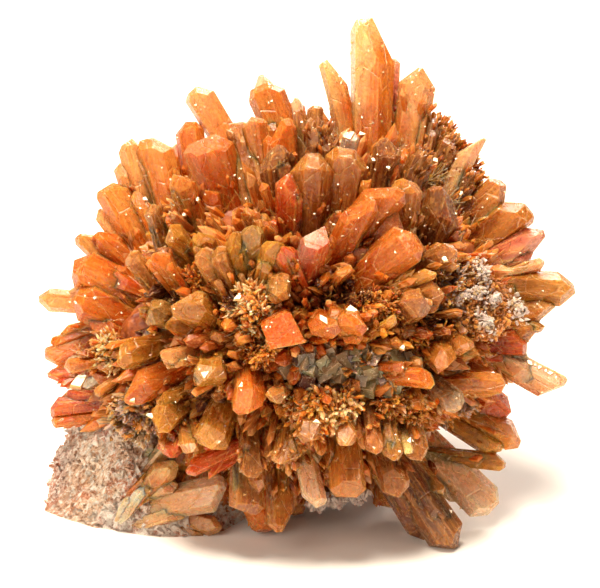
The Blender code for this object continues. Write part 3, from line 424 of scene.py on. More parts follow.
# Patches of druse: across, up, height over the body, half size across and up, how many, sizes, tints
WARM = ("orange", "peach", "amber", "pale", "honey")
BROWN = ("cinnamon", "peach", "rust", "amber", "pale")
DUSTY = ("ash", "smoke", "plum", "tan", "lilac")
DRUSE_PATCHES = {
    "spire_foot": (8.0, 25.6, 5.0, 5.0, 2.6, 720, (0.5, 1.3), WARM),
    "crown_foot": (2.4, 23.6, 4.5, 3.6, 1.8, 320, (0.5, 1.2), BROWN),
    "ridge": (18.6, 18.6, 5.5, 3.6, 5.0, 900, (0.6, 1.5), BROWN),
    "ridge_top": (16.6, 23.4, 5.0, 2.6, 3.0, 420, (0.6, 1.5), BROWN),
    "block_foot": (-14.2, 14.6, 5.0, 3.4, 2.0, 540, (0.5, 1.2), ("pale", "cream", "peach", "cream")),
    "left_middle": (-12.6, 6.0, 5.0, 2.6, 1.8, 300, (0.5, 1.2), BROWN),
    "heart": (-6.4, 2.2, 6.0, 3.4, 3.2, 900, (0.5, 1.3), ("pale", "blush", "peach", "cream", "blush")),
    "below_diamond": (-5.0, -3.4, 6.0, 2.6, 1.6, 300, (0.5, 1.1), BROWN),
    "beside_twins": (9.0, 2.6, 5.0, 3.4, 2.2, 420, (0.5, 1.3), BROWN),
    "right_of_cubes": (14.4, -0.8, 5.0, 3.4, 1.8, 360, (0.5, 1.3), BROWN),
    "under_cubes": (2.0, -10.2, 6.0, 4.6, 2.4, 600, (0.8, 1.9), ("blush", "peach", "cinnamon", "peach", "blush")),
    "sail_foot": (20.6, 19.6, 3.6, 2.2, 1.8, 240, (0.5, 1.3), BROWN),
    "under_cubes_right": (11.0, -10.0, 5.0, 4.4, 2.4, 600, (0.5, 1.3), BROWN),
    "grey_tuft": (18.6, -5.8, 5.0, 1.6, 1.5, 180, (0.6, 1.4), ("lilac", "ash", "lilac")),
    "over_cubes": (6.2, -5.6, 2.8, 7.4, 2.2, 216, (0.5, 1.3), ("amber", "tan", "cinnamon", "lilac")),
    "right_low": (18.6, -9.4, 4.0, 3.2, 2.6, 420, (0.5, 1.4), ("ash", "tan", "lilac", "dusk")),
    "left_low": (-20.8, -10.6, 2.5, 3.8, 3.2, 600, (0.8, 2.0), DUSTY),
    "left_low_rim": (-25.4, -10.0, 2.0, 2.6, 3.4, 420, (0.7, 1.8), DUSTY),
    "left_tongues": (-24.4, -3.6, 3.6, 2.4, 2.6, 480, (0.4, 1.1), ("pale", "blush", "cream", "tan")),
    "druse_rim": (18.0, 5.0, 4.0, 3.0, 4.2, 540, (0.5, 1.3), ("tan", "cinnamon", "lilac", "pale")),
}

# Crystals in one rosette of druse, how deep its middle lies under the patch, and how much its crystals are stretched
ROSETTE_CRYSTALS = 12
ROSETTE_DEPTH = 0.6
ROSETTE_STRETCH = 1.5

# Faces that flash: across, up, and size
GLINTS = (
    (-16.0, 4.6, 1.5), (-12.6, -6.2, 1.4), (2.3, 0.8, 1.4), (5.8, 2.0, 1.5), (4.4, 14.4, 1.2), (5.6, 24.0, 1.5),
    (-8.4, 3.6, 1.0), (-9.6, 1.6, 1.0), (13.6, 12.2, 0.9), (-20.8, 16.4, 0.8), (-13.8, 16.0, 1.0), (-15.4, 14.2, 0.9),
    (20.2, 17.2, 0.9), (17.0, 21.4, 0.9), (10.6, 20.2, 0.8), (-18.0, 10.0, 0.8), (17.6, 8.4, 0.9), (-22.4, -6.0, 0.8),
    (7.4, 24.8, 0.9), (1.4, -12.0, 0.9), (-19.6, -11.4, 1.2), (-21.8, -9.4, 1.0), (12.2, -2.6, 0.9),
    (-8.0, -7.4, 0.9), (8.8, 21.2, 0.8), (-29.4, -7.4, 2.4), (29.2, -4.9, 0.9), (29.9, -5.2, 0.6),
    (30.5, -5.6, 0.9), (31.3, -5.9, 0.5), (31.9, -6.3, 0.7), (32.6, -6.8, 0.5), (13.2, -14.6, 1.0),
)
# Smaller ones at random: how many, from where to where across and up, and sizes
SPARKLES = 560
SPARKLE_SPREAD = (-31.0, 33.0, -26.0, 36.0)
SPARKLE_SIZE = (0.13, 0.42)
# How far a flashing face stands off the crystal that carries it, as a share of its size, and how true it faces
GLINT_LIFT = 0.2
GLINT_WANDER = 0.04

# Crusts: middle from the heart, half size across and up, share by which each turns to the onlooker, and lean
CRUSTS = {
    "white_druse_side": (22.8, 3.2, 12.0, 3.4, 5.0, 0.6, 0.45),
    "white_druse_under": (4.0, -22.3, 1.6, 3.6, 1.8, 0.0, 0.0),
    "grey_cube_band": (6.2, -5.2, 17.0, 8.2, 2.4, 0.5, -0.12),
}
# Patches of a crust, from its middle: across, up, half size across and up
CRUST_PATCHES = {
    "white_druse_side": ((1.0, 3.8, 0.9, 1.5), (1.2, -0.2, 1.0, 0.9), (3.9, -2.9, 0.8, 1.6), (-1.1, -2.6, 0.7, 1.5),
                         (-3.0, 1.9, 1.1, 0.5), (-0.4, 1.4, 0.6, 0.7)),
    "white_druse_under": ((-2.4, 0.2, 1.0, 1.0), (0.2, -0.3, 1.6, 1.1), (2.8, 0.3, 1.0, 1.0)),
    "grey_cube_band": ((-6.6, 0.0, 1.4, 1.6), (-3.4, 0.3, 1.8, 1.9), (0.4, 0.0, 1.6, 2.1), (4.0, 0.3, 2.0, 2.0),
                       (7.0, 0.2, 1.4, 1.5)),
}
# What grows in a crust: how many crystals, sizes and tints, then how many darker ones on its ground, and their tints
CRUST_GRAINS = {
    "white_druse_side": (620, (0.35, 1.0), ("snow", "lilac", "ash", "snow"), 1300,
                         ("cinnamon", "tan", "cinnamon", "peach")),
    "white_druse_under": (520, (0.5, 1.2), ("snow", "snow", "lilac"), 80, ("lilac", "ash")),
    "grey_cube_band": (100, (0.9, 2.7), ("smoke", "plum", "moss", "ash", "moss"), 420, BROWN),
}
# How far out of a crust's middle its ground stands, and how low a crystal may stand, in millimetres
GROUND_DEPTH = (-3.4, 0.3)
CRUST_CLEARANCE = 1.5
# Cubes: the least and most that a side measures as a share of their size, and how wide their edges are worn
CUBE_SIDES = (0.7, 1.0)
CUBE_BEVEL = 0.16

# The rock, as in the solids: corners of its sole in plan from the heart, and corners of its top with their height
ROCK_SOLE = (
    (-35.2, -3.0), (-29.6, -7.4), (-24.0, -9.6), (-17.0, -12.2), (-11.0, -11.4), (-7.6, -6.0),
    (-5.6, 1.0), (-2.0, 9.0), (-5.0, 17.0), (-15.0, 20.5), (-27.0, 16.5), (-34.4, 7.0),
)
ROCK_SOLE_DEPTH = -2.5
ROCK_BROW = (
    (-30.8, -0.6, 10.8), (-27.0, -2.6, 14.6), (-22.0, -3.8, 15.4), (-22.5, -10.6, 6.4), (-14.5, -4.8, 12.5),
    (-9.0, -2.0, 9.5), (-5.0, 6.0, 9.0), (-8.0, 13.0, 10.0), (-16.0, 14.5, 12.5), (-26.5, 9.5, 13.5),
)
# Cuts along each edge for its broad dents, and again for its grain
ROCK_CUTS = 2
FINE_ROCK_CUTS = 7
ROCK_ROUGHNESS = 0.9
ROCK_GRAIN = 5.0
ROCK_GRAINS = 2600
ROCK_GRAIN_TINTS = ("snow", "lilac", "pale", "ash", "ash", "tan", "plum", "peach", "smoke")

# The rusty rim at the rock's left: where it starts from the heart, the share of its grains that are stained, tints
RUSTY_RIM = -30.5
RUSTY_SHARE = 0.5
RUSTY_TINTS = ("flame", "umber", "cinnamon")

# The lowest that a crystal's corner or the rock's grain may stand, in millimetres
LOWEST = 0.02

# What the crystals' corners carry: kind of attribute, its field, and the output that a material reads
MARKS = {
    "place": ("FLOAT_VECTOR", "vector", "Vector"),
    "rise": ("FLOAT", "value", "Fac"),
    "across": ("FLOAT", "value", "Fac"),
    "tip_tint": ("FLOAT_COLOR", "color", "Color"),
    "root_tint": ("FLOAT_COLOR", "color", "Color"),
}

# The studio, in metres: each light's place, size, watts and colour
SOFTBOX_PLACE = (-0.06, -0.12, 0.56)
SOFT_LIGHTS = {
    "overhead_softbox": (SOFTBOX_PLACE, 0.22, 7.0, "#FFF3DE"),
    "left_softbox": ((-0.36, -0.40, 0.30), 0.4, 2.0, "#FFF0DC"),
    "right_fill": ((0.46, -0.30, 0.04), 0.22, 0.42, "#FFEEDA"),
    "back_light": ((0.10, 0.50, 0.30), 0.25, 3.2, "#FFF6E8"),
}
# The room's own light: colour and strength
STUDIO_AIR = ("#FFF4E6", 0.12)
# The sweep: half width, where it starts in front, where it begins to rise, the reach of its bend, and its height
SWEEP = (1.6, -1.2, 0.5, 0.4, 1.6)
# The camera: distance in metres, lens and sensor in millimetres, and where it aims, across and up from the heart
CAMERA_DISTANCE = 0.6
CAMERA_LENS = 276.9
CAMERA_SENSOR = 36
CAMERA_AIM = (-0.65, 4.03)


def from_heart(across, up, toward):
    """A point given in millimetres from the heart, in metres in the world."""
    return HEART + (ACROSS * across + UPWARD * up + TOWARD * toward) * MM


def depth_of_tip(across, up):
    """How near the onlooker a tip of the show face stands, in millimetres."""
    return SHOW_FACE_FLATTENING * math.sqrt(max(0.0, TIP_REACH**2 - across**2 - up**2))


def in_view(point):
    """A point as the onlooker sees it: across, up and toward them, in millimetres from the heart."""
    offset = (point - HEART) / MM
    return offset.dot(ACROSS), offset.dot(UPWARD), offset.dot(TOWARD)


def depth_in_body(point):
    """How far out a point lies from the middle of the nearest lump of the body, as a share of its reach."""
    place = Vector(in_view(point))
    shares = []
    for lump in BODY_LUMPS.values():
        apart = place - Vector(lump[:3])
        shares.append(Vector([apart[axis] / lump[3 + axis] for axis in range(3)]).length)
    return min(shares)


def body_surface(direction):
    """The body's surface in one direction from the heart, in metres."""
    way = Vector((direction.dot(ACROSS), direction.dot(UPWARD), direction.dot(TOWARD)))
    furthest = 0.0
    for lump in BODY_LUMPS.values():
        centre = Vector([lump[axis] / lump[3 + axis] for axis in range(3)])
        scaled = Vector([way[axis] / lump[3 + axis] for axis in range(3)])
        a, b, c = scaled.dot(scaled), scaled.dot(centre), centre.dot(centre) - 1
        if b * b > a * c:
            furthest = max(furthest, (b + math.sqrt(b * b - a * c)) / a)
    return HEART + direction * furthest * MM


def skin_depth(across, up):
    """How near the onlooker the body's surface lies at a place on the show face, in millimetres from the heart."""
    depths = []
    for lump in BODY_LUMPS.values():
        share = 1 - ((across - lump[0]) / lump[3]) ** 2 - ((up - lump[1]) / lump[4]) ** 2
        depths.append(lump[2] + lump[5] * math.sqrt(share) if share > 0 else -5.0)
    return max(depths)


def bearings(count):
    """Directions spread evenly over a sphere."""
    golden_angle = math.pi * (3 - math.sqrt(5))
    for index in range(count):
        height = 1 - 2 * (index + 0.5) / count
        ring = math.sqrt(1 - height * height)
        turn = golden_angle * index
        yield ACROSS * (ring * math.cos(turn)) + UPWARD * height + TOWARD * (ring * math.sin(turn))


def tumbled(draw, *limits):
    """A vector of three random draws, such as three of chance.gauss with its middle and spread."""
    return Vector([draw(*limits) for _ in range(3)])


def wandering(chance, direction, spread):
    """The direction, leaning at random."""
    return (direction + tumbled(chance.gauss, 0, spread)).normalized()


def side_of(chance, way, most=math.tau):
    """A way square to another, turned round it at random by most at the most."""
    side = way.orthogonal().normalized()
    side.rotate(Matrix.Rotation(chance.uniform(0, most), 3, way))
    return side


def fits_in_box(point, margin=0.2):
    """Whether a point is inside the solids' own box and off the floor, by a margin in millimetres."""
    low, high = cad_box
    return all(low[axis] + margin * MM < point[axis] < high[axis] - margin * MM for axis in range(3))


def off_glimpse(point):
    """How far from the middle of the gap at the lower right the onlooker sees a point, in millimetres."""
    across, up, _toward = in_view(point)
    return Vector((across - GLIMPSE[0], up - GLIMPSE[1])).length


def has_room(root, tip, margin, *watched):
    """Whether a crystal stays inside the box by a margin in millimetres, and leaves the gap open at some points."""
    fits = fits_in_box(tip, margin) and fits_in_box(root, margin)
    return fits and all(off_glimpse(point) >= GLIMPSE[2] + GLIMPSE_RIM for point in watched)


def with_painted_shade(point, tint):
    """The tint of fine growth at a point, which is tinted dark red-brown in a hollow as painted shade."""
    across, up, _toward = in_view(point)
    for hollow_across, hollow_up, reach in HOLLOWS:
        if Vector((across - hollow_across, up - hollow_up)).length < reach:
            return "painted_hollow_shade"
    return tint


def half_way(place):
    """The way a face must look to throw the softbox's light to the onlooker."""
    return (TOWARD + (Vector(SOFTBOX_PLACE) - place).normalized()).normalized()


class Blade:
    """One crystal: its tip, the way it points, its sizes in metres, and its tint."""

    def __init__(self, name, tip, foot, width, broad_normal, tint):
        chance = random.Random(name)
        self.name = name
        self.tint = tint
        self.tip = tip
        self.foot = foot
        self.axis = (tip - foot).normalized()
        self.width = width * MM
        self.thickness = self.width * chance.uniform(*THICKNESS_SHARE)
        middle, half = chance.uniform(-RIDGE_OFFSET, RIDGE_OFFSET), chance.uniform(*RIDGE_HALF)
        self.ridge = (middle - half, middle + half)
        steepness = chance.uniform(*STEEPNESS)
        self.slopes = (steepness * chance.uniform(*UNEVEN_SLOPES), steepness * chance.uniform(*UNEVEN_SLOPES))
        if name in MARKED_HEADS:
            self.ridge, self.slopes = MARKED_HEADS[name][:2], MARKED_HEADS[name][2:]
        turned = 0 if name == "red_diamond" else chance.uniform(-TWIST, TWIST)
        self.broad_normal = Matrix.Rotation(turned, 3, self.axis) @ broad_normal
        self.length = self.buried_length((tip - foot).length)

    def buried_length(self, shown):
        """The length from tip to root, which ends well inside the body."""
        length = shown
        while depth_in_body(self.tip - self.axis * length) > BURIED_DEPTH and length < shown + LONGEST_ROOT * MM:
            length += ROOT_STEP * MM
        return length

    def frame(self):
        """The matrix from the blade's own axes, width along X and length along Z, to the world."""
        side = self.broad_normal.cross(self.axis).normalized()
        normal = self.axis.cross(side).normalized()
        turn = Matrix((side, normal, self.axis)).transposed().to_4x4()
        return Matrix.Translation(self.tip - self.axis * self.length) @ turn


def facing_normal(axis):
    """A broad side's normal: square to the axis and as near to the onlooker as that allows."""
    normal = TOWARD - axis * TOWARD.dot(axis)
    if normal.length < 0.3:
        normal = UPWARD - axis * UPWARD.dot(axis)
    return normal.normalized()


def named_blade(name, row, tip_depth=None):
    """A blade from its row in a table, with its tip on the ball's round unless a depth is given."""
    tip_across, tip_up, foot_across, foot_up, rise, width, tint = row[:7]
    depth = depth_of_tip(tip_across, tip_up) - SET_BACK.get(name, 0) if tip_depth is None else tip_depth
    tip = from_heart(tip_across, tip_up, depth)
    foot = from_heart(foot_across, foot_up, depth - rise)
    return Blade(name, tip, foot, width * FULLNESS, facing_normal((tip - foot).normalized()), tint)


def standing_blades():
    """The two blades whose points touch the floor, one in front and one behind."""
    height_without_depth = HEART_PLACE[2] + STANDING_BLADE[1] * math.cos(FACE_TILT) - STANDING_TIP_HEIGHT
    front = named_blade("front_foot", STANDING_BLADE, -height_without_depth / math.sin(FACE_TILT))
    rear_tip = Vector((HEART.x + REAR_FOOT_PLAN[0] * MM, HEART.y + REAR_FOOT_PLAN[1] * MM,
                       STANDING_TIP_HEIGHT * MM))
    rear = Blade("rear_foot", rear_tip, HEART, REAR_FOOT_WIDTH, Vector(REAR_FOOT_FACING), "amber")
    return [front, rear]


def show_blades():
    """Every blade that can be told apart in the photograph, and the two that stand on the floor."""
    rows = {**CROWN, **LEFT_FLANK, **UPPER_FACE, **RIGHT_FLANK, **MIDDLE_FACE, **LOWER_FACE}
    return [named_blade(name, row) for name, row in rows.items()] + standing_blades()


def spray_blades():
    """The blades on the rock's toe, which end a little way inside it."""
    blades = []
    for name, row in SIDE_SPRAY.items():
        blade = named_blade(name, row, tip_depth=row[7])
        blade.length = Vector((row[0] - row[2], row[1] - row[3], row[4])).length * MM + SPRAY_BURIED * MM
        blades.append(blade)
    return blades


def hides_glimpse(blade):
    """Whether a blade would stop the gap at the lower right, as seen from the show face."""
    along = [blade.tip - blade.axis * blade.length * step / 12 for step in range(12)]
    return any(off_glimpse(point) < GLIMPSE[2] + blade.width / MM / 2 for point in along)


class ShownOutline:
    """The named blades and the places kept open as the onlooker sees them, each a bar from foot to tip."""

    def __init__(self, shown):
        self.tips = np.array([in_view(blade.tip) for blade in shown] + [place[0] for place in KEPT_OPEN])
        self.feet = np.array([in_view(blade.foot) for blade in shown] + [place[1] for place in KEPT_OPEN])
        self.halves = np.array([blade.width / MM / 2 for blade in shown] + [place[2] for place in KEPT_OPEN])
        self.runs = self.tips - self.feet

    def hidden_by(self, point, margin=0.0):
        """Whether something at this point would stand before a named blade."""
        place = np.array(in_view(point))
        apart = place[:2] - self.feet[:, :2]
        share = (apart * self.runs[:, :2]).sum(axis=1) / np.maximum((self.runs[:, :2] ** 2).sum(axis=1), 1e-6)
        share = np.clip(share, OPEN_FOOT_SHARE, 1.0)
        aside = np.linalg.norm(apart - share[:, None] * self.runs[:, :2], axis=1)
        before = place[2] > self.feet[:, 2] + share * self.runs[:, 2] - HIDDEN_FROM_DEPTH
        return bool(((aside < self.halves * OPEN_HALF_SHARE + margin) & before).any())


def near_crust(direction):
    """Whether a blade growing that way would come up through a crust."""
    for across, up, toward, half_across, half_up, *_rest in CRUSTS.values():
        middle = ACROSS * across + UPWARD * up + TOWARD * toward
        apart = direction * (middle.length / max(direction.dot(middle.normalized()), 0.2)) - middle
        share = Vector((apart.dot(ACROSS) / (half_across + 1), apart.dot(UPWARD) / (half_up + 1)))
        if direction.dot(middle) > 0 and share.length < 1:
            return True
    return False


def crust_axes(name):
    """A crust's middle and its axes: across it, along it and out of it."""
    across, up, toward, _half_across, _half_up, turned, lean = CRUSTS[name]
    middle = from_heart(across, up, toward)
    outward = ((middle - HEART).normalized() * (1 - turned) + TOWARD * turned).normalized()
    side = (ACROSS - outward * ACROSS.dot(outward)).normalized()
    side.rotate(Matrix.Rotation(lean, 3, outward))
    return middle, side, outward.cross(side), outward


def under_crust(direction):
    """Whether growth that way would stand within a crust's own rim."""
    for name, (_across, _up, _toward, half_across, half_up, *_rest) in CRUSTS.items():
        middle, side, rise, _outward = crust_axes(name)
        offset = middle - HEART
        facing = direction.dot(offset.normalized())
        if facing < 0.3:
            continue
        apart = (direction * (offset.length / facing) - offset) / MM
        if Vector((apart.dot(side) / half_across, apart.dot(rise) / half_up)).length < 1:
            return True
    return False


def grown_blade(kind, index, direction, width, protrusion):
    """A blade that grows outwards from the body, leaning a little, and stays clear of the floor."""
    chance = random.Random(f"{kind} {index}")
    surface = 15 * MM
    while depth_in_body(HEART + direction * surface) < 1:
        surface += 0.25 * MM
    extent = surface + chance.uniform(*protrusion) * MM
    if direction.z < 0:
        extent = min(extent, (HEART.z - FLOOR_CLEARANCE * MM) / -direction.z)
    tip = HEART + direction * extent
    wander = tumbled(chance.uniform, -1, 1) * GROWN_WANDER
    foot = tip - (direction + wander).normalized() * GROWN_FOOT * MM
    normal = side_of(chance, direction, math.pi)
    blade = Blade(f"{kind}_{index}", tip, foot, chance.uniform(*width), normal, chance.choice(FILLING_TINTS))
    blade.thickness = blade.width * chance.uniform(*GROWN_THICKNESS)
    return blade


def filling_blades(shown, outline):
    """Blades wherever no named one and no crust is, then shorter ones in the gaps of the show face."""
    taken = []
    for blade in shown:
        for share in (0.0, 0.35):
            taken.append((blade.tip - blade.axis * blade.length * share - HEART).normalized())
    made = []
    for kind, (tries, clearance, width, protrusion, least) in GROWN_BLADES.items():
        for index, direction in enumerate(bearings(tries)):
            if direction.dot(TOWARD) < least or near_crust(direction):
                continue
            if min(direction.angle(other) for other in taken) < clearance:
                continue
            blade = grown_blade(kind, index, direction, width, protrusion)
            seen = [blade.tip - blade.axis * step * MM for step in (0.3, 1.5, 3.0)]
            if any(outline.hidden_by(point) for point in seen) or hides_glimpse(blade):
                continue
            taken.append(direction)
            made.append(blade)
    return made


def linear(colour):
    """A hex colour in linear light, with full alpha."""
    shares = [int(colour[start:start + 2], 16) / 255 for start in (1, 3, 5)]
    return [s / 12.92 if s <= 0.04045 else ((s + 0.055) / 1.055) ** 2.4 for s in shares] + [1.0]


def fill_inputs(tree, node, inputs):
    """Gives a node its inputs, each of them an output to link, a hex colour or a fixed value."""
    for name, value in inputs.items():
        if isinstance(value, bpy.types.NodeSocket):
            tree.links.new(value, node.inputs[name])
        else:
            node.inputs[name].default_value = linear(value) if isinstance(value, str) else value


def add_node(tree, kind, inputs, **settings):
    """Adds a node with its settings and its inputs, linked or fixed."""
    node = tree.nodes.new(kind)
    for name, value in settings.items():
        setattr(node, name, value)
    fill_inputs(tree, node, inputs)
    return node


def new_material(name):
    """An empty Principled material: its tree and its shader."""
    material = bpy.data.materials.new(name)
    material.use_nodes = True
    return material, material.node_tree, material.node_tree.nodes["Principled BSDF"]


def read_marks(tree, *labels):
    """What the crystals carry under these labels, one output for each. The bevel's own mark is a plain number."""
    outputs = []
    for label in labels:
        kind = MARKS[label][2] if label in MARKS else "Fac"
        outputs.append(add_node(tree, "ShaderNodeAttribute", {}, attribute_name=label).outputs[kind])
    return outputs


def stretched_noise(tree, place, stretch, detail=3.0, roughness=0.55):
    """Noise in the crystal's own millimetres, with stretch in cycles per millimetre along each axis."""
    scaled = add_node(tree, "ShaderNodeVectorMath", {0: place, 1: stretch}, operation="MULTIPLY").outputs[0]
    inputs = {"Vector": scaled, "Scale": 1.0, "Detail": detail, "Roughness": roughness}
    return add_node(tree, "ShaderNodeTexNoise", inputs).outputs["Fac"]


def share_of(tree, *patterns):
    """How strongly patterns act together. Each is an output, the two values between which it changes, and its
    shares at those two."""
    share = None
    for pattern, low, high, at_low, at_high in patterns:
        limits = {"Value": pattern, "From Min": low, "From Max": high, "To Min": at_low, "To Max": at_high}
        step = add_node(tree, "ShaderNodeMapRange", limits).outputs["Result"]
        if share is None:
            share = step
        else:
            share = add_node(tree, "ShaderNodeMath", {0: share, 1: step}, operation="MULTIPLY").outputs[0]
    return share


def stain(tree, ground, colour, *patterns):
    """The ground stained with a colour wherever the patterns act. Ground and colour are outputs or hex colours."""
    inputs = {0: share_of(tree, *patterns), 6: ground, 7: colour}
    return add_node(tree, "ShaderNodeMix", inputs, data_type="RGBA").outputs[2]


def clouded_creedite(name, transmission, flame_share, gloss, depth):
    """Creedite, a natural fluoride and sulphate mineral: clouded glassy crystal, coloured by iron from pale tips
    to red roots, with rust-red streaks, milky veils and fine growth lines along each blade."""
    material, tree, shader = new_material(name)
    place, rise, across, edge, tip, root = read_marks(
        tree, "place", "rise", "across", "edge", "tip_tint", "root_tint",
    )
    # zones of colour a few millimetres long, often paler to one side, which on tall_spire, great_wing and pink_blade
    # is painted light
    clouds = stretched_noise(tree, place, (0.4, 0.4, 0.2), detail=2.0)
    uneven = add_node(tree, "ShaderNodeMath", {0: clouds, 1: 1.1, 2: rise}, operation="MULTIPLY_ADD").outputs[0]
    slanted = add_node(tree, "ShaderNodeMath", {0: uneven, 1: across}, operation="ADD").outputs[0]
    colour = stain(tree, root, tip, (slanted, 0.95, 1.6, 0.0, 1.0))
    # rust-red clouds, most of them near the root
    streaks = stretched_noise(tree, place, (0.5, 0.5, 0.24))
    colour = stain(tree, colour, "#C83E04", (streaks, 0.46, 0.7, 0.0, flame_share), (rise, 0.4, 1.0, 1.0, 0.3))
    # milky veils, thin sheets inside the blade, healed cracks that run through it, and specks of iron a third of a
    # millimetre across
    veils = stretched_noise(tree, place, (0.9, 0.9, 0.45), detail=6.0, roughness=0.65)
    colour = stain(tree, colour, "#F4A650", (veils, 0.52, 0.72, 0.0, 0.3))
    cell = add_node(tree, "ShaderNodeVectorMath", {0: place, 1: (0.42, 0.42, 0.2)}, operation="MULTIPLY").outputs[0]
    crack = add_node(
        tree, "ShaderNodeTexVoronoi", {"Vector": cell, "Scale": 1.0}, feature="DISTANCE_TO_EDGE",
    ).outputs["Distance"]
    colour = stain(tree, colour, "#FFCC8C", (crack, 0.0, 0.03, 0.6, 0.0), (veils, 0.46, 0.56, 0.0, 1.0))
    specks = stretched_noise(tree, place, (3.2, 3.2, 2.6), roughness=0.7)
    colour = stain(tree, colour, "#7A2C08", (specks, 0.56, 0.64, 0.0, 0.5))
    # growth lines along each blade, a third of a millimetre apart, paler than the rest
    lines = stretched_noise(tree, place, (3.0, 3.0, 0.22), detail=2.0)
    colour = stain(tree, colour, "#FFB660", (lines, 0.5, 0.66, 0.0, 0.42))
    # edges, painted paler along their length: a painted highlight on the rims
    colour = stain(tree, colour, "#FFC074", (edge, 0.0, 1.0, 0.0, 1.0), (veils, 0.4, 0.6, 0.25, 0.85))
    # the same lines in relief, over etched dents, with the cracks as grooves
    dents = stretched_noise(tree, place, (1.5, 1.5, 1.0), detail=5.0, roughness=0.65)
    worn = add_node(tree, "ShaderNodeMath", {0: lines, 1: 0.4, 2: dents}, operation="MULTIPLY_ADD").outputs[0]
    groove = share_of(tree, (crack, 0.0, 0.03, 0.0, 0.6))
    relief = add_node(tree, "ShaderNodeMath", {0: groove, 1: worn}, operation="ADD").outputs[0]
    bump = add_node(tree, "ShaderNodeBump", {"Height": relief, "Strength": 1.0, "Distance": 0.00016})
    fill_inputs(tree, shader, {
        "Base Color": colour, "Normal": bump.outputs["Normal"],
        "Roughness": share_of(tree, (dents, 0.35, 0.65, gloss, gloss + 0.24)),
        "IOR": 1.47, "Transmission Weight": transmission,
        "Subsurface Weight": 1.0, "Subsurface Radius": (1.0, 0.7, 0.45), "Subsurface Scale": depth,
    })
    return material


def fresh_face(name):
    """Small broken faces of creedite, clean and smooth, which mirror the light where the blades are etched."""
    material, tree, shader = new_material(name)
    # faint clouds about a millimetre across
    cloud = stretched_noise(tree, read_marks(tree, "place")[0], (0.8, 0.8, 0.8))
    fill_inputs(tree, shader, {
        "Base Color": stain(tree, "#F6D4A4", "#EEB070", (cloud, 0.4, 0.6, 0.0, 1.0)), "Roughness": 0.14,
        "IOR": 1.47, "Subsurface Weight": 0.5, "Subsurface Radius": (1.0, 0.7, 0.45), "Subsurface Scale": 0.0006,
    })
    return material


def sugary_white(name):
    """White druse: a crust of tiny glassy crystals, which scatter light as sugar does."""
    material, tree, shader = new_material(name)
    tip, place = read_marks(tree, "tip_tint", "place")
    # pale brown stains about two millimetres across, and grain of a sixth of a millimetre
    patches = stretched_noise(tree, place, (0.5, 0.5, 0.5))
    grain = stretched_noise(tree, place, (6.0, 6.0, 6.0))
    bump = add_node(tree, "ShaderNodeBump", {"Height": grain, "Strength": 0.4, "Distance": 0.0001})
    fill_inputs(tree, shader, {
        "Base Color": stain(tree, tip, "#C9A08C", (patches, 0.5, 0.75, 0.0, 0.5)), "Normal": bump.outputs["Normal"],
        "Roughness": 0.3, "IOR": 1.46, "Transmission Weight": 0.1,
        "Subsurface Weight": 0.8, "Subsurface Radius": (1.0, 0.9, 0.8), "Subsurface Scale": 0.0002,
    })
    return material


def smoky_cubes(name):
    """Grey fluorite cubes: cloudy glassy crystal, smoke grey to brown and green, etched by time."""
    material, tree, shader = new_material(name)
    tip, place, edge = read_marks(tree, "tip_tint", "place", "edge")
    # brown smoke about two millimetres across, pale dust of under half a millimetre, and dusty edges
    smoke = stretched_noise(tree, place, (0.5, 0.5, 0.5))
    colour = stain(tree, tip, "#7A4A2C", (smoke, 0.42, 0.66, 0.0, 0.75))
    dust = stretched_noise(tree, place, (2.6, 2.6, 2.6), detail=4.0, roughness=0.7)
    colour = stain(tree, colour, "#E0C8A4", (dust, 0.56, 0.68, 0.0, 0.4))
    colour = stain(tree, colour, "#D2BCA4", (edge, 0.0, 1.0, 0.0, 1.0), (dust, 0.4, 0.6, 0.1, 0.8))
    bump = add_node(tree, "ShaderNodeBump", {"Height": dust, "Strength": 0.5, "Distance": 0.00012})
    fill_inputs(tree, shader, {
        "Base Color": colour, "Normal": bump.outputs["Normal"],
        "Roughness": share_of(tree, (dust, 0.3, 0.7, 0.08, 0.35)), "IOR": 1.43, "Transmission Weight": 0.3,
        "Subsurface Weight": 1.0, "Subsurface Radius": (1.0, 0.8, 0.6), "Subsurface Scale": 0.001,
    })
    return material


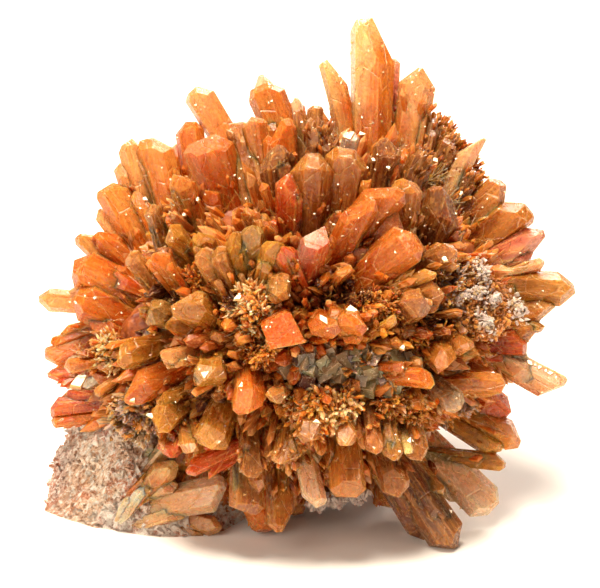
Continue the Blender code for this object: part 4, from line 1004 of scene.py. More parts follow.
def grained_matrix(name):
    """Altered volcanic matrix: pinkish beige and granular, with fibres slanting up to the right, white grains, dark
    pits, and rust where iron has soaked in."""
    material, tree, shader = new_material(name)
    where = add_node(tree, "ShaderNodeTexCoord", {}).outputs["Object"]
    slant = {"Vector": where, "Axis": (0, 1, 0), "Angle": math.radians(52)}
    turned = add_node(tree, "ShaderNodeVectorRotate", slant).outputs[0]
    place = add_node(
        tree, "ShaderNodeVectorMath", {0: turned, 1: (1000, 1000, 1000)}, operation="MULTIPLY",
    ).outputs[0]
    # fibres two millimetres long and half a millimetre thick
    fibres = stretched_noise(tree, place, (0.5, 1.6, 1.9), detail=5.0, roughness=0.7)
    colour = stain(tree, "#DEAA80", "#FFEED8", (fibres, 0.36, 0.64, 0.0, 1.0))
    # patches several millimetres across, some bleached and some soaked with rust
    bleached = stretched_noise(tree, place, (0.12, 0.18, 0.18))
    colour = stain(tree, colour, "#FFF4EC", (bleached, 0.46, 0.6, 0.0, 0.75))
    rust = stretched_noise(tree, place, (0.24, 0.34, 0.34), detail=5.0, roughness=0.65)
    colour = stain(tree, colour, "#D2784A", (rust, 0.51, 0.6, 0.0, 0.7))
    # more rust along the rim at the left
    leftward = add_node(tree, "ShaderNodeSeparateXYZ", {"Vector": where}).outputs["X"]
    colour = stain(tree, colour, "#B85A28", (leftward, -0.0335, -0.0285, 0.9, 0.0), (fibres, 0.4, 0.6, 0.0, 1.0))
    # pale grains half a millimetre to a millimetre across, and dark pits between them
    grains = stretched_noise(tree, place, (1.0, 1.9, 1.9), detail=4.0, roughness=0.75)
    colour = stain(tree, colour, "#FFF3E6", (grains, 0.52, 0.56, 0.0, 1.0))
    colour = stain(tree, colour, "#96542E", (grains, 0.44, 0.39, 0.0, 0.7))
    relief = add_node(tree, "ShaderNodeMath", {0: fibres, 1: grains}, operation="ADD").outputs[0]
    bump = add_node(tree, "ShaderNodeBump", {"Height": relief, "Strength": 1.0, "Distance": 0.0008})
    fill_inputs(tree, shader, {
        "Base Color": colour, "Normal": bump.outputs["Normal"],
        "Roughness": share_of(tree, (grains, 0.45, 0.65, 0.85, 0.35)),
    })
    return material


def iron_stained_heart(name):
    """The body between the blades: the same mineral, grown too close to tell apart and red-brown from staining."""
    material, tree, shader = new_material(name)
    where = add_node(tree, "ShaderNodeTexCoord", {}).outputs["Object"]
    place = add_node(
        tree, "ShaderNodeVectorMath", {0: where, 1: (1000, 1000, 1000)}, operation="MULTIPLY",
    ).outputs[0]
    # crystals just over a millimetre across
    grain = stretched_noise(tree, place, (0.8, 0.8, 0.8), detail=5.0)
    bump = add_node(tree, "ShaderNodeBump", {"Height": grain, "Strength": 0.8, "Distance": 0.0006})
    fill_inputs(tree, shader, {
        "Base Color": stain(tree, "#6E2A10", "#A85A24", (grain, 0.35, 0.65, 0.0, 1.0)),
        "Normal": bump.outputs["Normal"], "Roughness": 0.45,
    })
    return material


TRIPLES = {}


def cut_solid(normals, offsets):
    """The corners and faces of the solid behind all these planes."""
    count = len(normals)
    if count not in TRIPLES:
        TRIPLES[count] = np.array(list(itertools.combinations(range(count), 3)))
    triples = TRIPLES[count]
    systems = normals[triples]
    solvable = np.abs(np.linalg.det(systems)) > 1e-4
    found = np.linalg.solve(systems[solvable], offsets[triples[solvable]][..., None])[..., 0]
    found = found[(found @ normals.T <= offsets + 1e-6).all(axis=1)]
    near = np.linalg.norm(found[:, None] - found[None], axis=2) < 1e-4
    corners = found[np.unique(near.argmax(axis=1))]
    faces = []
    for normal, offset in zip(normals, offsets):
        on = np.flatnonzero(np.abs(corners @ normal - offset) < 3e-4)
        if len(on) < 3:
            continue
        spokes = corners[on] - corners[on].mean(axis=0)
        start = spokes[0] / np.linalg.norm(spokes[0])
        turned = np.cross(normal, start)
        faces.append(on[np.argsort(np.arctan2(spokes @ turned, spokes @ start))].tolist())
    return corners, faces


def in_scene(name, data, material=None):
    """The object that shows a mesh, a light or a camera."""
    if material:
        data.materials.append(material)
    made = bpy.data.objects.new(name, data)
    bpy.context.scene.collection.objects.link(made)
    return made


def finished(name, mesh, material):
    """The object of a mesh that has been worked in memory."""
    data = bpy.data.meshes.new(name)
    mesh.to_mesh(data)
    mesh.free()
    return in_scene(name, data, material)


class Growth:
    """Many crystals gathered into one mesh, with each corner's place in its crystal, rise and tints."""

    def __init__(self):
        self.points, self.faces, self.count = [], [], 0
        self.marks = {label: [] for label in MARKS}

    def add(self, points, faces, places, rises, tint, shade, acrosses=None):
        """Adds one crystal. points are in metres in the world, and places in millimetres in the crystal."""
        self.points.append(points)
        self.faces.extend([[index + self.count for index in face] for face in faces])
        shaded = [np.clip(np.array(linear(colour)) * (shade, shade, shade, 1), 0, 1) for colour in TINTS[tint]]
        tip, root = (np.tile(colour, (len(points), 1)) for colour in shaded)
        acrosses = np.zeros(len(points)) if acrosses is None else acrosses
        for rows, added in zip(self.marks.values(), (places, rises, acrosses, tip, root)):
            rows.append(added)
        self.count += len(points)

    def make(self, name, material, bevel=0.0):
        """The object, with its edges bevelled by a width in millimetres."""
        data = bpy.data.meshes.new(name)
        points = np.concatenate(self.points)
        points[:, 2] = np.maximum(points[:, 2], LOWEST * MM)
        data.from_pydata(points, [], self.faces)
        for label, (kind, field, _output) in MARKS.items():
            attribute = data.attributes.new(label, kind, "POINT")
            attribute.data.foreach_set(field, np.concatenate(self.marks[label]).astype(np.float32).ravel())
        if bevel:
            mesh = bmesh.new()
            mesh.from_mesh(data)
            edge_layer = mesh.faces.layers.float.new("edge")
            cut = bmesh.ops.bevel(mesh, geom=mesh.edges[:], offset=bevel * MM, segments=1, affect="EDGES",
                                  clamp_overlap=True)
            for face in cut["faces"]:
                face[edge_layer] = 1.0
            mesh.to_mesh(data)
            mesh.free()
        return in_scene(name, data, material)


def side_planes(chance, width, thickness, length):
    """The planes round a blade, each drawn in a little by chance, so that no two sections are alike."""
    half, flank = width / 2, width * chance.uniform(0.2, 0.34)
    corners = [(half, 0), (flank, thickness / 2), (-flank, thickness / 2)]
    corners += [(-x, -y) for x, y in corners]
    planes = []
    for index, (x, y) in enumerate(corners):
        after_x, after_y = corners[(index + 1) % 6]
        out = Vector((after_y - y, x - after_x)).normalized()
        reach = out.dot(Vector((x, y))) * chance.uniform(0.9, 1.0)
        planes.append((out.x, out.y, -reach * (1 - FOOT_TAPER) / length, reach * FOOT_TAPER))
    for side in (1, -1):
        reach = half * chance.uniform(0.92, 1.0)
        planes.append((side, chance.uniform(-0.2, 0.2), -reach * (1 - FOOT_TAPER) / length, reach * FOOT_TAPER))
    planes.append((0, 0, -1, 0))
    return planes


def roof_head(chance, width, length, ridge, slopes):
    """A head with a ridge across the blade, as blades show in profile, that falls off beyond either end of it."""
    low, high = (share * width for share in ridge)
    flattened = slopes[2] if len(slopes) > 2 else 1.0
    planes = []
    for front in (1, -1):
        for side, end, slope in ((-1, low, slopes[0]), (1, high, slopes[1]), (0, 0, 1.0)):
            slope *= chance.uniform(0.92, 1.1)
            lean = front * chance.uniform(0.35, 0.7) * slope * flattened
            planes.append((side * slope, lean, 1, length + side * end * slope))
    chipped = (chance.uniform(-0.4, 0.4), chance.uniform(-0.4, 0.4), 1, length - chance.uniform(0.01, 0.05) * width)
    return planes + [chipped]


def pointed_head(chance, width, length):
    """A wedge: two broad slopes, and one at either end of its ridge, which stands a little off the middle."""
    apex_x, apex_y = chance.uniform(-0.18, 0.18) * width, chance.uniform(-0.1, 0.1) * width
    turn = chance.uniform(-0.3, 0.3)
    planes = []
    for index in range(4):
        slope = chance.uniform(1.1, 2.2) if index % 2 else chance.uniform(0.6, 1.4)
        x, y = math.cos(turn), math.sin(turn)
        height = length + slope * (x * apex_x + y * apex_y) - chance.uniform(0, 0.06) * width
        planes.append((x * slope, y * slope, 1, height))
        turn += math.pi / 2 * chance.uniform(0.9, 1.1)
    return planes


def as_halves(planes):
    """Unit normals and offsets of planes given as x, y, z and offset."""
    planes = np.array(planes)
    sizes = np.linalg.norm(planes[:, :3], axis=1)
    return planes[:, :3] / sizes[:, None], planes[:, 3] / sizes


def cut_by(halves, planes):
    """The halves of a crystal, with more planes given as x, y, z and offset."""
    return tuple(np.concatenate(both) for both in zip(halves, as_halves(planes)))


def narrowed_root(halves, width, thickness, length):
    """A blade drawn in towards its root by two pairs of planes more."""
    narrow = []
    for side in (1, -1):
        narrow.append((side, 0, -ROOT_FLARE * width / length, ROOT_HALF * width))
        narrow.append((0, side, -ROOT_FLARE * thickness / length, ROOT_HALF * thickness))
    return cut_by(halves, narrow)


def cut_to_outline(corners, length):
    """The planes of a crystal whose broad end face has these corners, in millimetres around its own axis."""
    planes = [(0, 0, -1, 0), (-0.06, 0.2, 1, length)]
    for (x, y), (after_x, after_y) in zip(corners, corners[1:] + corners[:1]):
        out = Vector((after_y - y, x - after_x)).normalized()
        reach = out.dot(Vector((x, y)))
        planes.append((out.x, out.y, -reach * 0.25 / length, reach * 0.75))
    return as_halves(planes)


def blade_halves(chance, width, thickness, length, ridge=None, slopes=None):
    """One crystal's halves in its own millimetres, under a roof if it has a ridge, or else a pointed head."""
    if ridge == "cut":
        head = [(*slopes, 1, length - width * 0.2)]
    elif ridge:
        head = roof_head(chance, width, length, ridge, slopes)
    else:
        head = pointed_head(chance, width, length)
    return as_halves(side_planes(chance, width, thickness, length) + head)


def luck_of(chance):
    """An offset, so that no two crystals show the same part of a pattern."""
    return [chance.uniform(0, 500) for _ in range(3)]


def stand(growth, blade, halves, aside, shade, chance):
    """Adds one crystal of a blade, given its halves in millimetres and how it stands aside from the blade."""
    matrix, aside = np.array(blade.frame()), np.array(aside)
    corners, faces = cut_solid(*halves)
    local = corners @ aside[:3, :3].T + aside[:3, 3]
    world = (local * MM) @ matrix[:3, :3].T + matrix[:3, 3]
    places = corners + luck_of(chance)
    slant = COLOUR_SLANT.get(blade.name, chance.uniform(-0.35, 0.35))
    growth.add(world, faces, places, corners[:, 2] * MM / blade.length, blade.tint, shade,
               slant * corners[:, 0] / (blade.width / MM))


def flashing_plane(blade, width, thickness, length):
    """A face that stands square between the onlooker and the softbox, cut off the blade's head or its side."""
    kind, deep = FLASHING[blade.name]
    turn = blade.frame().to_3x3().inverted()
    flash = turn @ half_way(blade.tip)
    if kind == "head" and flash.z > 0.35:
        return (*flash, flash.z * length - deep * width)
    flash = Vector((flash.x, flash.y, 0)).normalized()
    reach = abs(flash.x) * width / 2 + abs(flash.y) * thickness / 2
    return (flash.x, flash.y, -reach * 0.1 / length, reach * (1 - deep))


def head_of(blade):
    """A blade's ridge and slopes: none if it points at the onlooker, unless its head is marked or cut."""
    if blade.name in FLAT_CUTS:
        return "cut", FLAT_CUTS[blade.name]
    if blade.axis.dot(TOWARD) > 0.45 and blade.name not in MARKED_HEADS:
        return None, blade.slopes
    return blade.ridge, blade.slopes


def grow_blade(growth, blade, satellites):
    """A blade and the narrower ones grown parallel to it, which share its tint. Returns the main one's halves."""
    chance = random.Random("shape " + blade.name)
    width, thickness, length = blade.width / MM, blade.thickness / MM, blade.length / MM
    shade = chance.uniform(0.84, 1.04)
    sprayed = blade.name in SIDE_SPRAY
    fan = SPRAY_FAN if sprayed else SATELLITE_FAN
    if blade.name == "red_diamond":
        main = cut_to_outline(DIAMOND_CORNERS, length)
    else:
        main = blade_halves(chance, width, thickness, length, *head_of(blade))
    if blade.name in FLASHING:
        main = cut_by(main, [flashing_plane(blade, width, thickness, length)])
    if sprayed:
        main = narrowed_root(main, width, thickness, length)
    stand(growth, blade, main, Matrix.Identity(4), shade, chance)
    for _ in range(satellites):
        share = chance.uniform(*SATELLITE_WIDTH)
        aside = chance.choice((-1, 1)) * chance.uniform(0.12, 0.5) * width
        forward = chance.uniform(-0.4, 0.3) * thickness
        tilt = Matrix.Rotation(chance.uniform(-fan, fan), 4, "Y")
        tilt = tilt @ Matrix.Rotation(chance.uniform(-SATELLITE_FAN, SATELLITE_FAN), 4, "X")
        drop = chance.uniform(0.08, 0.6) * (blade.tip - blade.foot).length / MM + abs(aside) * 0.6
        sizes = (width * share, thickness * chance.uniform(*SATELLITE_THICKNESS), length - drop)
        halves = blade_halves(chance, *sizes)
        if sprayed:
            halves = narrowed_root(halves, *sizes)
        stand(growth, blade, halves, Matrix.Translation((aside, forward, 0)) @ tilt, shade, chance)
    return main


def on_side(halves, chance, height):
    """A point on a blade's side at a height in millimetres, and the way out of it there, both in its own axes."""
    normals, offsets = halves
    turn = chance.uniform(0, math.tau)
    way = np.array([math.cos(turn), math.sin(turn), 0.0])
    slopes = normals @ way
    outward = slopes > 0.05
    reach = ((offsets - normals[:, 2] * height)[outward] / slopes[outward]).min()
    return Vector((way[0] * reach, way[1] * reach, height)), Vector(way)


def dress_sides(growth, blade, halves):
    """Offshoots at a blade's foot, or all over a druzy one, and crumbs of crystal that have settled on its sides."""
    chance = random.Random("sides " + blade.name)
    frame_of_blade = blade.frame()
    turn = frame_of_blade.to_3x3()
    shown = max((blade.tip - blade.foot).length, 5 * MM) / MM
    foot_height = blade.length / MM - shown
    druzy = blade.name in DRUZY
    per_mm = DRUZY_PER_MM if druzy else 0 if blade.name in SINGLE else OFFSHOOTS_PER_MM
    for _ in range(int(per_mm * shown * chance.uniform(0.6, 1.4))):
        height = foot_height + shown * chance.uniform(-0.1, 0.98 if druzy else 0.4)
        side, way = on_side(halves, chance, max(height, 0.5))
        root = frame_of_blade @ ((side - way * 0.3) * MM)
        lean = (turn @ (Vector((0, 0, 1)) + way * chance.uniform(0.15, 0.9))).normalized()
        length = chance.uniform(*(DRUZY_LENGTH if druzy else OFFSHOOT_LENGTH)) * MM
        tip = root + lean * length
        if not has_room(root, tip, 0.8, root, tip):
            continue
        tint = blade.tint if chance.random() < 0.55 else chance.choice(SPRIG_TINTS)
        add_sprig(growth, chance, root, lean, length, length * chance.uniform(0.26, 0.5), tint,
                  chance.choice((4, 5, 6)), chance.uniform(0.85, 1.1))
    for _ in range(int(CRUMBS_PER_MM2 * shown * blade.width / MM * chance.uniform(0.3, 1.5))):
        height = foot_height + shown * chance.uniform(-0.1, 1) ** 2 * 0.8
        side, way = on_side(halves, chance, max(height, 0.5))
        place = frame_of_blade @ (side * MM)
        if fits_in_box(place):
            tint = blade.tint if chance.random() < 0.88 else chance.choice(CRUMB_TINTS)
            add_crumb(growth, chance, place, chance.uniform(*CRUMB_SIZE), tint)


def add_crumb(growth, chance, place, size, tint):
    """A grain with four faces, tumbled at random, whose faces flash in the light."""
    turn = Matrix.Rotation(chance.uniform(0, math.tau), 3, tumbled(chance.uniform, -1, 1))
    four = ((1, 1, 1), (1, -1, -1), (-1, 1, -1), (-1, -1, 1))
    corners = [Vector(corner) * chance.uniform(0.3, 0.65) for corner in four]
    points = np.array([place + turn @ corner * size * MM for corner in corners])
    places = np.array(corners) * size + luck_of(chance)
    growth.add(points, [[0, 1, 2], [0, 3, 1], [0, 2, 3], [1, 3, 2]], places, np.ones(4), tint,
               chance.uniform(0.85, 1.2))


def add_sprig(growth, chance, root, direction, length, width, tint, sides, shade):
    """A small crystal from its root, in metres: a tapered prism with a slanting point."""
    direction = direction.normalized()
    side = side_of(chance, direction)
    normal = direction.cross(side)
    flat = chance.uniform(0.55, 1.0)
    shoulder = length - width * chance.uniform(0.5, 1.2)
    points, places, rises = [], [], []
    luck = Vector(luck_of(chance))
    for height, spread in ((0.0, 0.7), (shoulder, 1.0)):
        for index in range(sides):
            turn = math.tau * index / sides
            x, y = math.cos(turn) * width / 2 * spread, math.sin(turn) * width / 2 * spread * flat
            z = height + (x * 0.4 if height else 0)
            points.append(root + side * x + normal * y + direction * z)
            places.append(Vector((x, y, z)) / MM + luck)
            rises.append(z / length)
    x = chance.uniform(-0.2, 0.2) * width
    points.append(root + side * x + direction * length)
    places.append(Vector((x, 0, length)) / MM + luck)
    rises.append(1.0)
    faces = []
    for index in range(sides):
        after = (index + 1) % sides
        faces.append([index, after, sides + after, sides + index])
        faces.append([sides + index, sides + after, 2 * sides])
    faces.append(list(range(sides))[::-1])
    growth.add(np.array(points), faces, np.array(places), np.array(rises), tint, shade)


def add_cube(growth, chance, middle, size, tint, shade):
    """A small blocky crystal, tumbled at random."""
    sizes = [size * MM * chance.uniform(*CUBE_SIDES) / 2 for _ in range(3)]
    turn = Matrix.Rotation(chance.uniform(0.5, math.tau - 0.5), 3, tumbled(chance.gauss, 0, 1))
    corners = itertools.product((-1, 1), repeat=3)
    local = [Vector([corner[axis] * sizes[axis] for axis in range(3)]) for corner in corners]
    points = [middle + turn @ place for place in local]
    luck = Vector(luck_of(chance))
    faces = [[0, 1, 3, 2], [4, 6, 7, 5], [0, 4, 5, 1], [2, 3, 7, 6], [0, 2, 6, 4], [1, 5, 7, 3]]
    places = np.array([place / MM + luck for place in local])
    growth.add(np.array(points), faces, places, np.full(8, 0.8), tint, shade)


def add_plate(growth, chance, middle, normal, side, size):
    """A thin slanting plate of three or four corners, with its broad face along normal."""
    count = chance.choice((3, 4, 4))
    across = normal.cross(side)
    rim = []
    for index in range(count):
        turn = math.tau * (index + chance.uniform(-0.2, 0.2)) / count
        reach = size * chance.uniform(0.4, 0.62) * MM
        rim.append(side * math.cos(turn) * reach + across * math.sin(turn) * reach * 0.7)
    points = [middle + place for place in rim] + [middle + place * 1.3 - normal * size * 0.4 * MM for place in rim]
    faces = [list(range(count)), list(range(count, 2 * count))[::-1]]
    faces += [[index, index + count, (index + 1) % count + count, (index + 1) % count] for index in range(count)]
    places = np.array([(point - middle) / MM + Vector((across.x, side.x, size)) * 90 for point in points])
    growth.add(np.array(points), faces, places, np.ones(len(points)), "pale", 1.0)


def add_needle(growth, chance, root, lean, length, tint):
    """A hair-fine crystal, if it has room. Its length is in millimetres."""
    tip = root + lean * length * MM
    if has_room(root, tip, 0.2, root, tip):
        add_sprig(growth, chance, root, lean, length * MM, chance.uniform(*NEEDLE_WIDTH) * MM, tint, 3,
                  chance.uniform(0.8, 1.15))


def grow_between(kind, outline):
    """Crystals over the whole body between the blades: small sprigs, or spears, which are longer."""
    count, stray, depth, leaning, lengths, least, margin, brightest = BETWEEN[kind]
    growth = Growth()
    chance = random.Random(kind)
    for direction in bearings(count):
        direction = wandering(chance, direction, stray)
        if under_crust(direction):
            continue
        root = body_surface(direction) - direction * depth * MM
        lean = wandering(chance, direction, leaning)
        shorter = LOW_SPEAR_SHARE if kind == "spears" and direction.z < -0.45 else 1.0
        length = chance.uniform(*lengths) * shorter * MM
        width = length * chance.uniform(*SPRIG_SHARE) if kind == "sprigs" else None
        tip = root + lean * length
        if not has_room(root, tip, 1.2, root, tip, (root + tip) / 2):
            continue
        if direction.dot(TOWARD) > least and outline.hidden_by(tip, margin):
            continue
        add_sprig(growth, chance, root, lean, length, width or chance.uniform(*SPEAR_WIDTH) * MM,
                  with_painted_shade(tip, chance.choice(SPRIG_TINTS)), chance.choice((4, 5, 6)),
                  chance.uniform(0.8, brightest))
    return growth


def grow_druse():
    """Patches of druse: rosettes of crystals a millimetre or two long, where the photograph shows them."""
    growth = Growth()
    for name, (across, up, raised, half_across, half_up, count, size, tints) in DRUSE_PATCHES.items():
        chance = random.Random(name)
        for _ in range(count // ROSETTE_CRYSTALS):
            turn, spread = chance.uniform(0, math.tau), math.sqrt(chance.random())
            aside, rise = half_across * spread * math.cos(turn), half_up * spread * math.sin(turn)
            depth = skin_depth(across, up) + raised * (1 - 0.6 * spread**2) * chance.uniform(0.6, 1.0)
            middle = from_heart(across + aside, up + rise, depth - ROSETTE_DEPTH)
            way = wandering(chance, (middle - HEART).normalized() + TOWARD * 0.3, 0.35)
            tint = chance.choice(tints)
            for _ in range(ROSETTE_CRYSTALS):
                lean = wandering(chance, way, 0.5)
                length = chance.uniform(*size) * ROSETTE_STRETCH * MM
                tip = middle + lean * length
                if not has_room(middle, tip, 0.8, middle):
                    continue
                add_sprig(growth, chance, middle + lean * 0.1 * MM, lean, length,
                          length * chance.uniform(0.16, 0.36),
                          with_painted_shade(tip, tint if chance.random() < 0.6 else chance.choice(tints)),
                          chance.choice((4, 5, 6)), chance.uniform(0.9, 1.4))
    return growth


def carrier_of(growths):
    """A search tree of the surfaces that can carry a flashing face."""
    points, faces = [], []
    for growth in growths:
        faces += [[index + len(points) for index in face] for face in growth.faces]
        points += np.concatenate(growth.points).tolist()
    return BVHTree.FromPolygons(points, faces)


def grow_glints(carrier):
    """Crystal faces that stand square between the onlooker and the softbox, and so flash white, each laid on the
    crystal that the onlooker sees there."""
    growth = Growth()
    chance = random.Random("glints")
    left, right, low, high = SPARKLE_SPREAD
    sparkles = [(chance.uniform(left, right), chance.uniform(low, high), chance.uniform(*SPARKLE_SIZE))
                for _ in range(SPARKLES)]
    for across, up, size in sparkles + list(GLINTS):
        middle = carrier.ray_cast(from_heart(across, up, 60), -TOWARD)[0]
        if middle is None or not fits_in_box(middle, 0.6):
            continue
        flash = wandering(chance, half_way(middle), GLINT_WANDER)
        add_plate(growth, chance, middle + flash * size * GLINT_LIFT * MM, flash, side_of(chance, flash), size)
    return growth


def grow_needles():
    """Hair-fine crystals: a few all over, and tufts of pale ones where the photograph shows them."""
    growth = Growth()
    chance = random.Random("needles")
    for direction in bearings(NEEDLE_COUNT):
        direction = wandering(chance, direction, 0.03)
        if near_crust(direction):
            continue
        root = body_surface(direction) + direction * chance.uniform(-0.5, 1.5) * MM
        add_needle(growth, chance, root, wandering(chance, direction, 0.45), chance.uniform(*NEEDLE_LENGTH),
                   chance.choice(("tan", "amber", "honey", "pale")))
    for across, up, reach, count in TUFTS:
        toward = math.sqrt(max(TUFT_REACH**2 - across**2 - up**2, 1.0))
        way = (ACROSS * across + UPWARD * up + TOWARD * toward).normalized()
        heart_of_tuft = body_surface(way) + way * 0.8 * MM
        for _ in range(count):
            lean = wandering(chance, way, 0.55)
            root = heart_of_tuft + lean * 0.3 * MM + tumbled(chance.gauss, 0, 0.25) * reach * MM / 2
            add_needle(growth, chance, root, lean, reach * chance.uniform(0.7, 1.5), chance.choice(NEEDLE_TINTS))
    return growth


def body_mesh(material):
    """The ball's body between the blades."""
    mesh = bmesh.new()
    bmesh.ops.create_icosphere(mesh, subdivisions=6, radius=1.0)
    for vert in mesh.verts:
        direction = vert.co.normalized()
        place = body_surface(direction)
        rough = noise.noise(place / (2.2 * MM)) * 0.9 + noise.noise(place / (0.8 * MM)) * 0.4
        vert.co = place + direction * (rough - 1.0) * MM
        vert.co.z = max(vert.co.z, 1.5 * MM)
    return finished("ball_body", mesh, material)


def hull_of(points):
    """The tight skin around some points."""
    mesh = bmesh.new()
    for point in points:
        mesh.verts.new(point)
    made = bmesh.ops.convex_hull(mesh, input=mesh.verts)
    inside = [g for g in made["geom_interior"] + made["geom_unused"] if isinstance(g, bmesh.types.BMVert)]
    bmesh.ops.delete(mesh, geom=list(set(inside)), context="VERTS")
    bmesh.ops.recalc_face_normals(mesh, faces=mesh.faces)
    return mesh


def rock_object(material):
    """The rock: the solids' lump, cut finer, with grain, pits and a fibrous slant."""
    sole = [(x, y, ROCK_SOLE_DEPTH) for x, y in ROCK_SOLE]
    mesh = hull_of([(HEART.x + x * MM, HEART.y + y * MM, z * MM) for x, y, z in (*sole, *ROCK_BROW)])
    bmesh.ops.triangulate(mesh, faces=mesh.faces)
    bmesh.ops.subdivide_edges(mesh, edges=mesh.edges, cuts=ROCK_CUTS, use_grid_fill=True)
    bmesh.ops.triangulate(mesh, faces=mesh.faces)
    mesh.normal_update()
    for vert in mesh.verts:
        bump = noise.noise((vert.co - HEART) / (ROCK_GRAIN * MM))
        vert.co += vert.normal * bump * ROCK_ROUGHNESS * MM
    bmesh.ops.subdivide_edges(mesh, edges=mesh.edges, cuts=FINE_ROCK_CUTS, use_grid_fill=True)
    everything = mesh.verts[:] + mesh.edges[:] + mesh.faces[:]
    bmesh.ops.bisect_plane(mesh, geom=everything, plane_co=(0, 0, 0), plane_no=(0, 0, -1), clear_outer=True)
    bmesh.ops.contextual_create(mesh, geom=[edge for edge in mesh.edges if edge.is_boundary])
    bmesh.ops.triangulate(mesh, faces=mesh.faces)
    bmesh.ops.recalc_face_normals(mesh, faces=mesh.faces)
    mesh.normal_update()
    for vert in mesh.verts:
        if vert.co.z < 0.05 * MM:
            continue
        place = vert.co / MM
        fibre = Vector((place.x * 0.5 + place.z * 0.5, place.y * 0.9, (place.z - place.x) * 0.16))
        bump = noise.noise(fibre * 1.2) * 0.7 + noise.noise(place * 0.9) * 0.8 + noise.noise(place * 2.2) * 0.6
        vert.co += vert.normal * (bump - 0.35) * MM
        vert.co.z = max(vert.co.z, LOWEST * MM)
    return finished("rock", mesh, material)


def grow_crust(name, grains, size, tints, ground, ground_tints):
    """A crust of small crystals in patches, on a ground of darker ones over its whole place."""
    growth = Growth()
    chance = random.Random("crust " + name)
    half_across, half_up = CRUSTS[name][3:5]
    middle, side, rise, outward = crust_axes(name)
    patches = [(0.0, 0.0, half_across * 1.05, half_up * 1.05)] * ground
    patches += chance.choices(CRUST_PATCHES[name], k=grains)
    for index, (across, up, wide, high) in enumerate(patches):
        on_ground = index < ground
        turn = chance.uniform(0, math.tau)
        spread = math.sqrt(chance.random()) if on_ground else min(abs(chance.gauss(0, 0.75)), 1.6)
        across += wide * spread * math.cos(turn)
        up += high * spread * math.sin(turn)
        place = middle + (side * across + rise * up) * MM
        raised = chance.uniform(*GROUND_DEPTH) if on_ground else chance.uniform(0.1, 1.4 - 0.7 * spread)
        place += outward * raised * MM
        if place.z < CRUST_CLEARANCE * MM:
            continue
        length = chance.uniform(*size) * MM
        tint = chance.choice(ground_tints if on_ground else tints)
        if name == "grey_cube_band" and not on_ground:
            add_cube(growth, chance, place, length / MM, tint, chance.uniform(0.8, 1.15))
        else:
            lean = wandering(chance, outward, 0.7)
            add_sprig(growth, chance, place - lean * length * 0.4, lean, length, length * chance.uniform(0.4, 0.9),
                      tint, chance.choice((4, 5)), chance.uniform(0.8, 1.15))
    return growth


def grow_rock_grains(rock):
    """Chips and small crystals stuck all over the rock."""
    growth = Growth()
    chance = random.Random("rock grains")
    faces = [face for face in rock.data.polygons if face.center.z > 0.5 * MM]
    areas = list(itertools.accumulate(face.area for face in faces))
    for face in chance.choices(faces, cum_weights=areas, k=ROCK_GRAINS):
        corners = [rock.data.vertices[index].co for index in face.vertices]
        shares = [chance.random() for _ in corners]
        place = sum((corner * share for corner, share in zip(corners, shares)), Vector()) / sum(shares)
        if not fits_in_box(place, 1.2):
            continue
        rusty = place.x < HEART.x + RUSTY_RIM * MM and chance.random() < RUSTY_SHARE
        tint = chance.choice(RUSTY_TINTS if rusty else ROCK_GRAIN_TINTS)
        if chance.random() < 0.25:
            lean = wandering(chance, face.normal, 0.6)
            length = chance.uniform(0.4, 1.2) * MM
            if fits_in_box(place + lean * length, 0.4):
                add_sprig(growth, chance, place - lean * 0.1 * MM, lean, length, length * chance.uniform(0.3, 0.6),
                          tint, 4, chance.uniform(0.7, 1.1))
        else:
            add_crumb(growth, chance, place, chance.uniform(0.3, 1.1), tint)
    return growth


def dress_ball(creedite, fine_creedite, heart_stuff):
    """The ball: its blades and all that grows on them and between them."""
    shown = show_blades()
    outline = ShownOutline(shown + spray_blades())
    fine, druse = Growth(), grow_druse()
    pieces, carriers = [], [druse]
    for name, blades in (("show_blades", shown), ("filling_blades", filling_blades(shown, outline))):
        growth = Growth()
        carriers.append(growth)
        for blade in blades:
            alone = blade.name in SINGLE or blade.width < SLENDER * MM
            halves = grow_blade(growth, blade, 0 if alone else random.Random(blade.name).choice((1, 2, 2, 3)))
            dress_sides(fine, blade, halves)
        pieces.append(growth.make(name, creedite, bevel=BEVEL))
    pieces.append(fine.make("offshoots", fine_creedite))
    for kind in BETWEEN:
        pieces.append(grow_between(kind, outline).make(kind, fine_creedite))
    pieces.append(druse.make("druse", fine_creedite))
    pieces.append(grow_glints(carrier_of(carriers)).make("glints", fresh_face("fresh_face")))
    pieces.append(grow_needles().make("needles", fine_creedite))
    pieces.append(body_mesh(heart_stuff))
    for piece in pieces:
        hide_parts("creedite_ball")
        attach(piece, "root")


def dress_spray(creedite):
    """The five golden blades on the rock's toe, each with narrower ones beside it."""
    growth = Growth()
    for blade in spray_blades():
        grow_blade(growth, blade, 3 if blade.width > SLENDER * MM else 1)
    piece = growth.make("spray_blades", creedite, bevel=BEVEL)
    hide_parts("side_spray")
    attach(piece, "root")


def dress_rock(matrix):
    """The rock and the grains on it."""
    rock = rock_object(matrix)
    for piece in (rock, grow_rock_grains(rock).make("rock_grains", matrix)):
        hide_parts("matrix_rock")
        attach(piece, "root")


def dress_crusts(white, grey):
    """The two white crusts and the band of grey cubes."""
    for name, material, slot, bevel in (
        ("white_druse_side", white, "white_druse", 0.0), ("white_druse_under", white, "white_druse", 0.0),
        ("grey_cube_band", grey, "grey_cubes", CUBE_BEVEL),
    ):
        piece = grow_crust(name, *CRUST_GRAINS[name]).make(name.replace("_", "-"), material, bevel=bevel)
        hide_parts(name)
        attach(piece, "root")


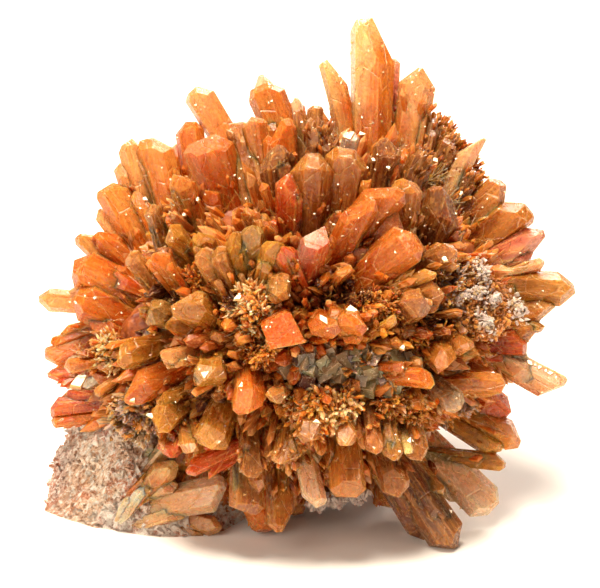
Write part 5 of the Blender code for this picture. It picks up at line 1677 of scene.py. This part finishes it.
def pale_sweep():
    """The studio's floor, which sweeps up behind the cluster."""
    material, tree, shader = new_material("pale_paper")
    fill_inputs(tree, shader, {"Base Color": "#FCFBFA", "Roughness": 0.9})
    half_width, front, bend_start, bend, top = SWEEP
    rows = [(front, 0.0), (bend_start, 0.0)]
    rows += [(bend_start + bend * math.sin(turn), bend - bend * math.cos(turn))
             for turn in np.linspace(0.1, math.pi / 2, 12)]
    rows.append((bend_start + bend, top))
    data = bpy.data.meshes.new("pale_sweep")
    data.from_pydata([(x, y, z) for y, z in rows for x in (-half_width, half_width)], [],
                     [(2 * i, 2 * i + 1, 2 * i + 3, 2 * i + 2) for i in range(len(rows) - 1)])
    in_scene("pale_sweep", data, material)


def soft_light(name, place, size, watts, colour):
    """A softbox, in metres, aimed at the heart."""
    light = bpy.data.lights.new(name, "AREA")
    light.shape = "SQUARE"
    light.size = size
    light.energy = watts
    light.color = linear(colour)[:3]
    lamp = in_scene(name, light)
    lamp.location = place
    lamp.rotation_euler = (HEART - Vector(place)).to_track_quat("-Z", "Y").to_euler()


def light_studio():
    """Soft lights in a room with a little light of its own."""
    world = bpy.data.worlds.new("studio_air")
    bpy.context.scene.world = world
    world.use_nodes = True
    air, strength = STUDIO_AIR
    fill_inputs(world.node_tree, world.node_tree.nodes["Background"], {"Color": air, "Strength": strength})
    for name, settings in SOFT_LIGHTS.items():
        soft_light(name, *settings)
    bpy.context.scene.view_settings.view_transform = "Standard"


def aim_camera():
    """A long lens, square to the show face."""
    camera = bpy.data.cameras.new("camera")
    camera.sensor_width = CAMERA_SENSOR
    camera.lens = CAMERA_LENS
    camera.clip_end = 10
    eye = in_scene("camera", camera)
    turn = Matrix((ACROSS, UPWARD, TOWARD)).transposed().to_4x4()
    eye.matrix_world = Matrix.Translation(from_heart(*CAMERA_AIM, CAMERA_DISTANCE / MM)) @ turn
    bpy.context.scene.camera = eye


def build():
    """The whole specimen on its sweep. Blades are clearer than fine growth, and light goes deeper into them."""
    creedite = clouded_creedite(
        "clouded_creedite", transmission=0.4, flame_share=0.4, gloss=0.12, depth=0.0015,
    )
    fine_creedite = clouded_creedite(
        "fine_creedite", transmission=0.25, flame_share=0.2, gloss=0.06, depth=0.0005,
    )
    dress_ball(creedite, fine_creedite, iron_stained_heart("iron_stained_heart"))
    dress_spray(creedite)
    dress_rock(grained_matrix("grained_matrix"))
    dress_crusts(sugary_white("sugary_white"), smoky_cubes("smoky_cubes"))
    pale_sweep()
    light_studio()
    aim_camera()


build()
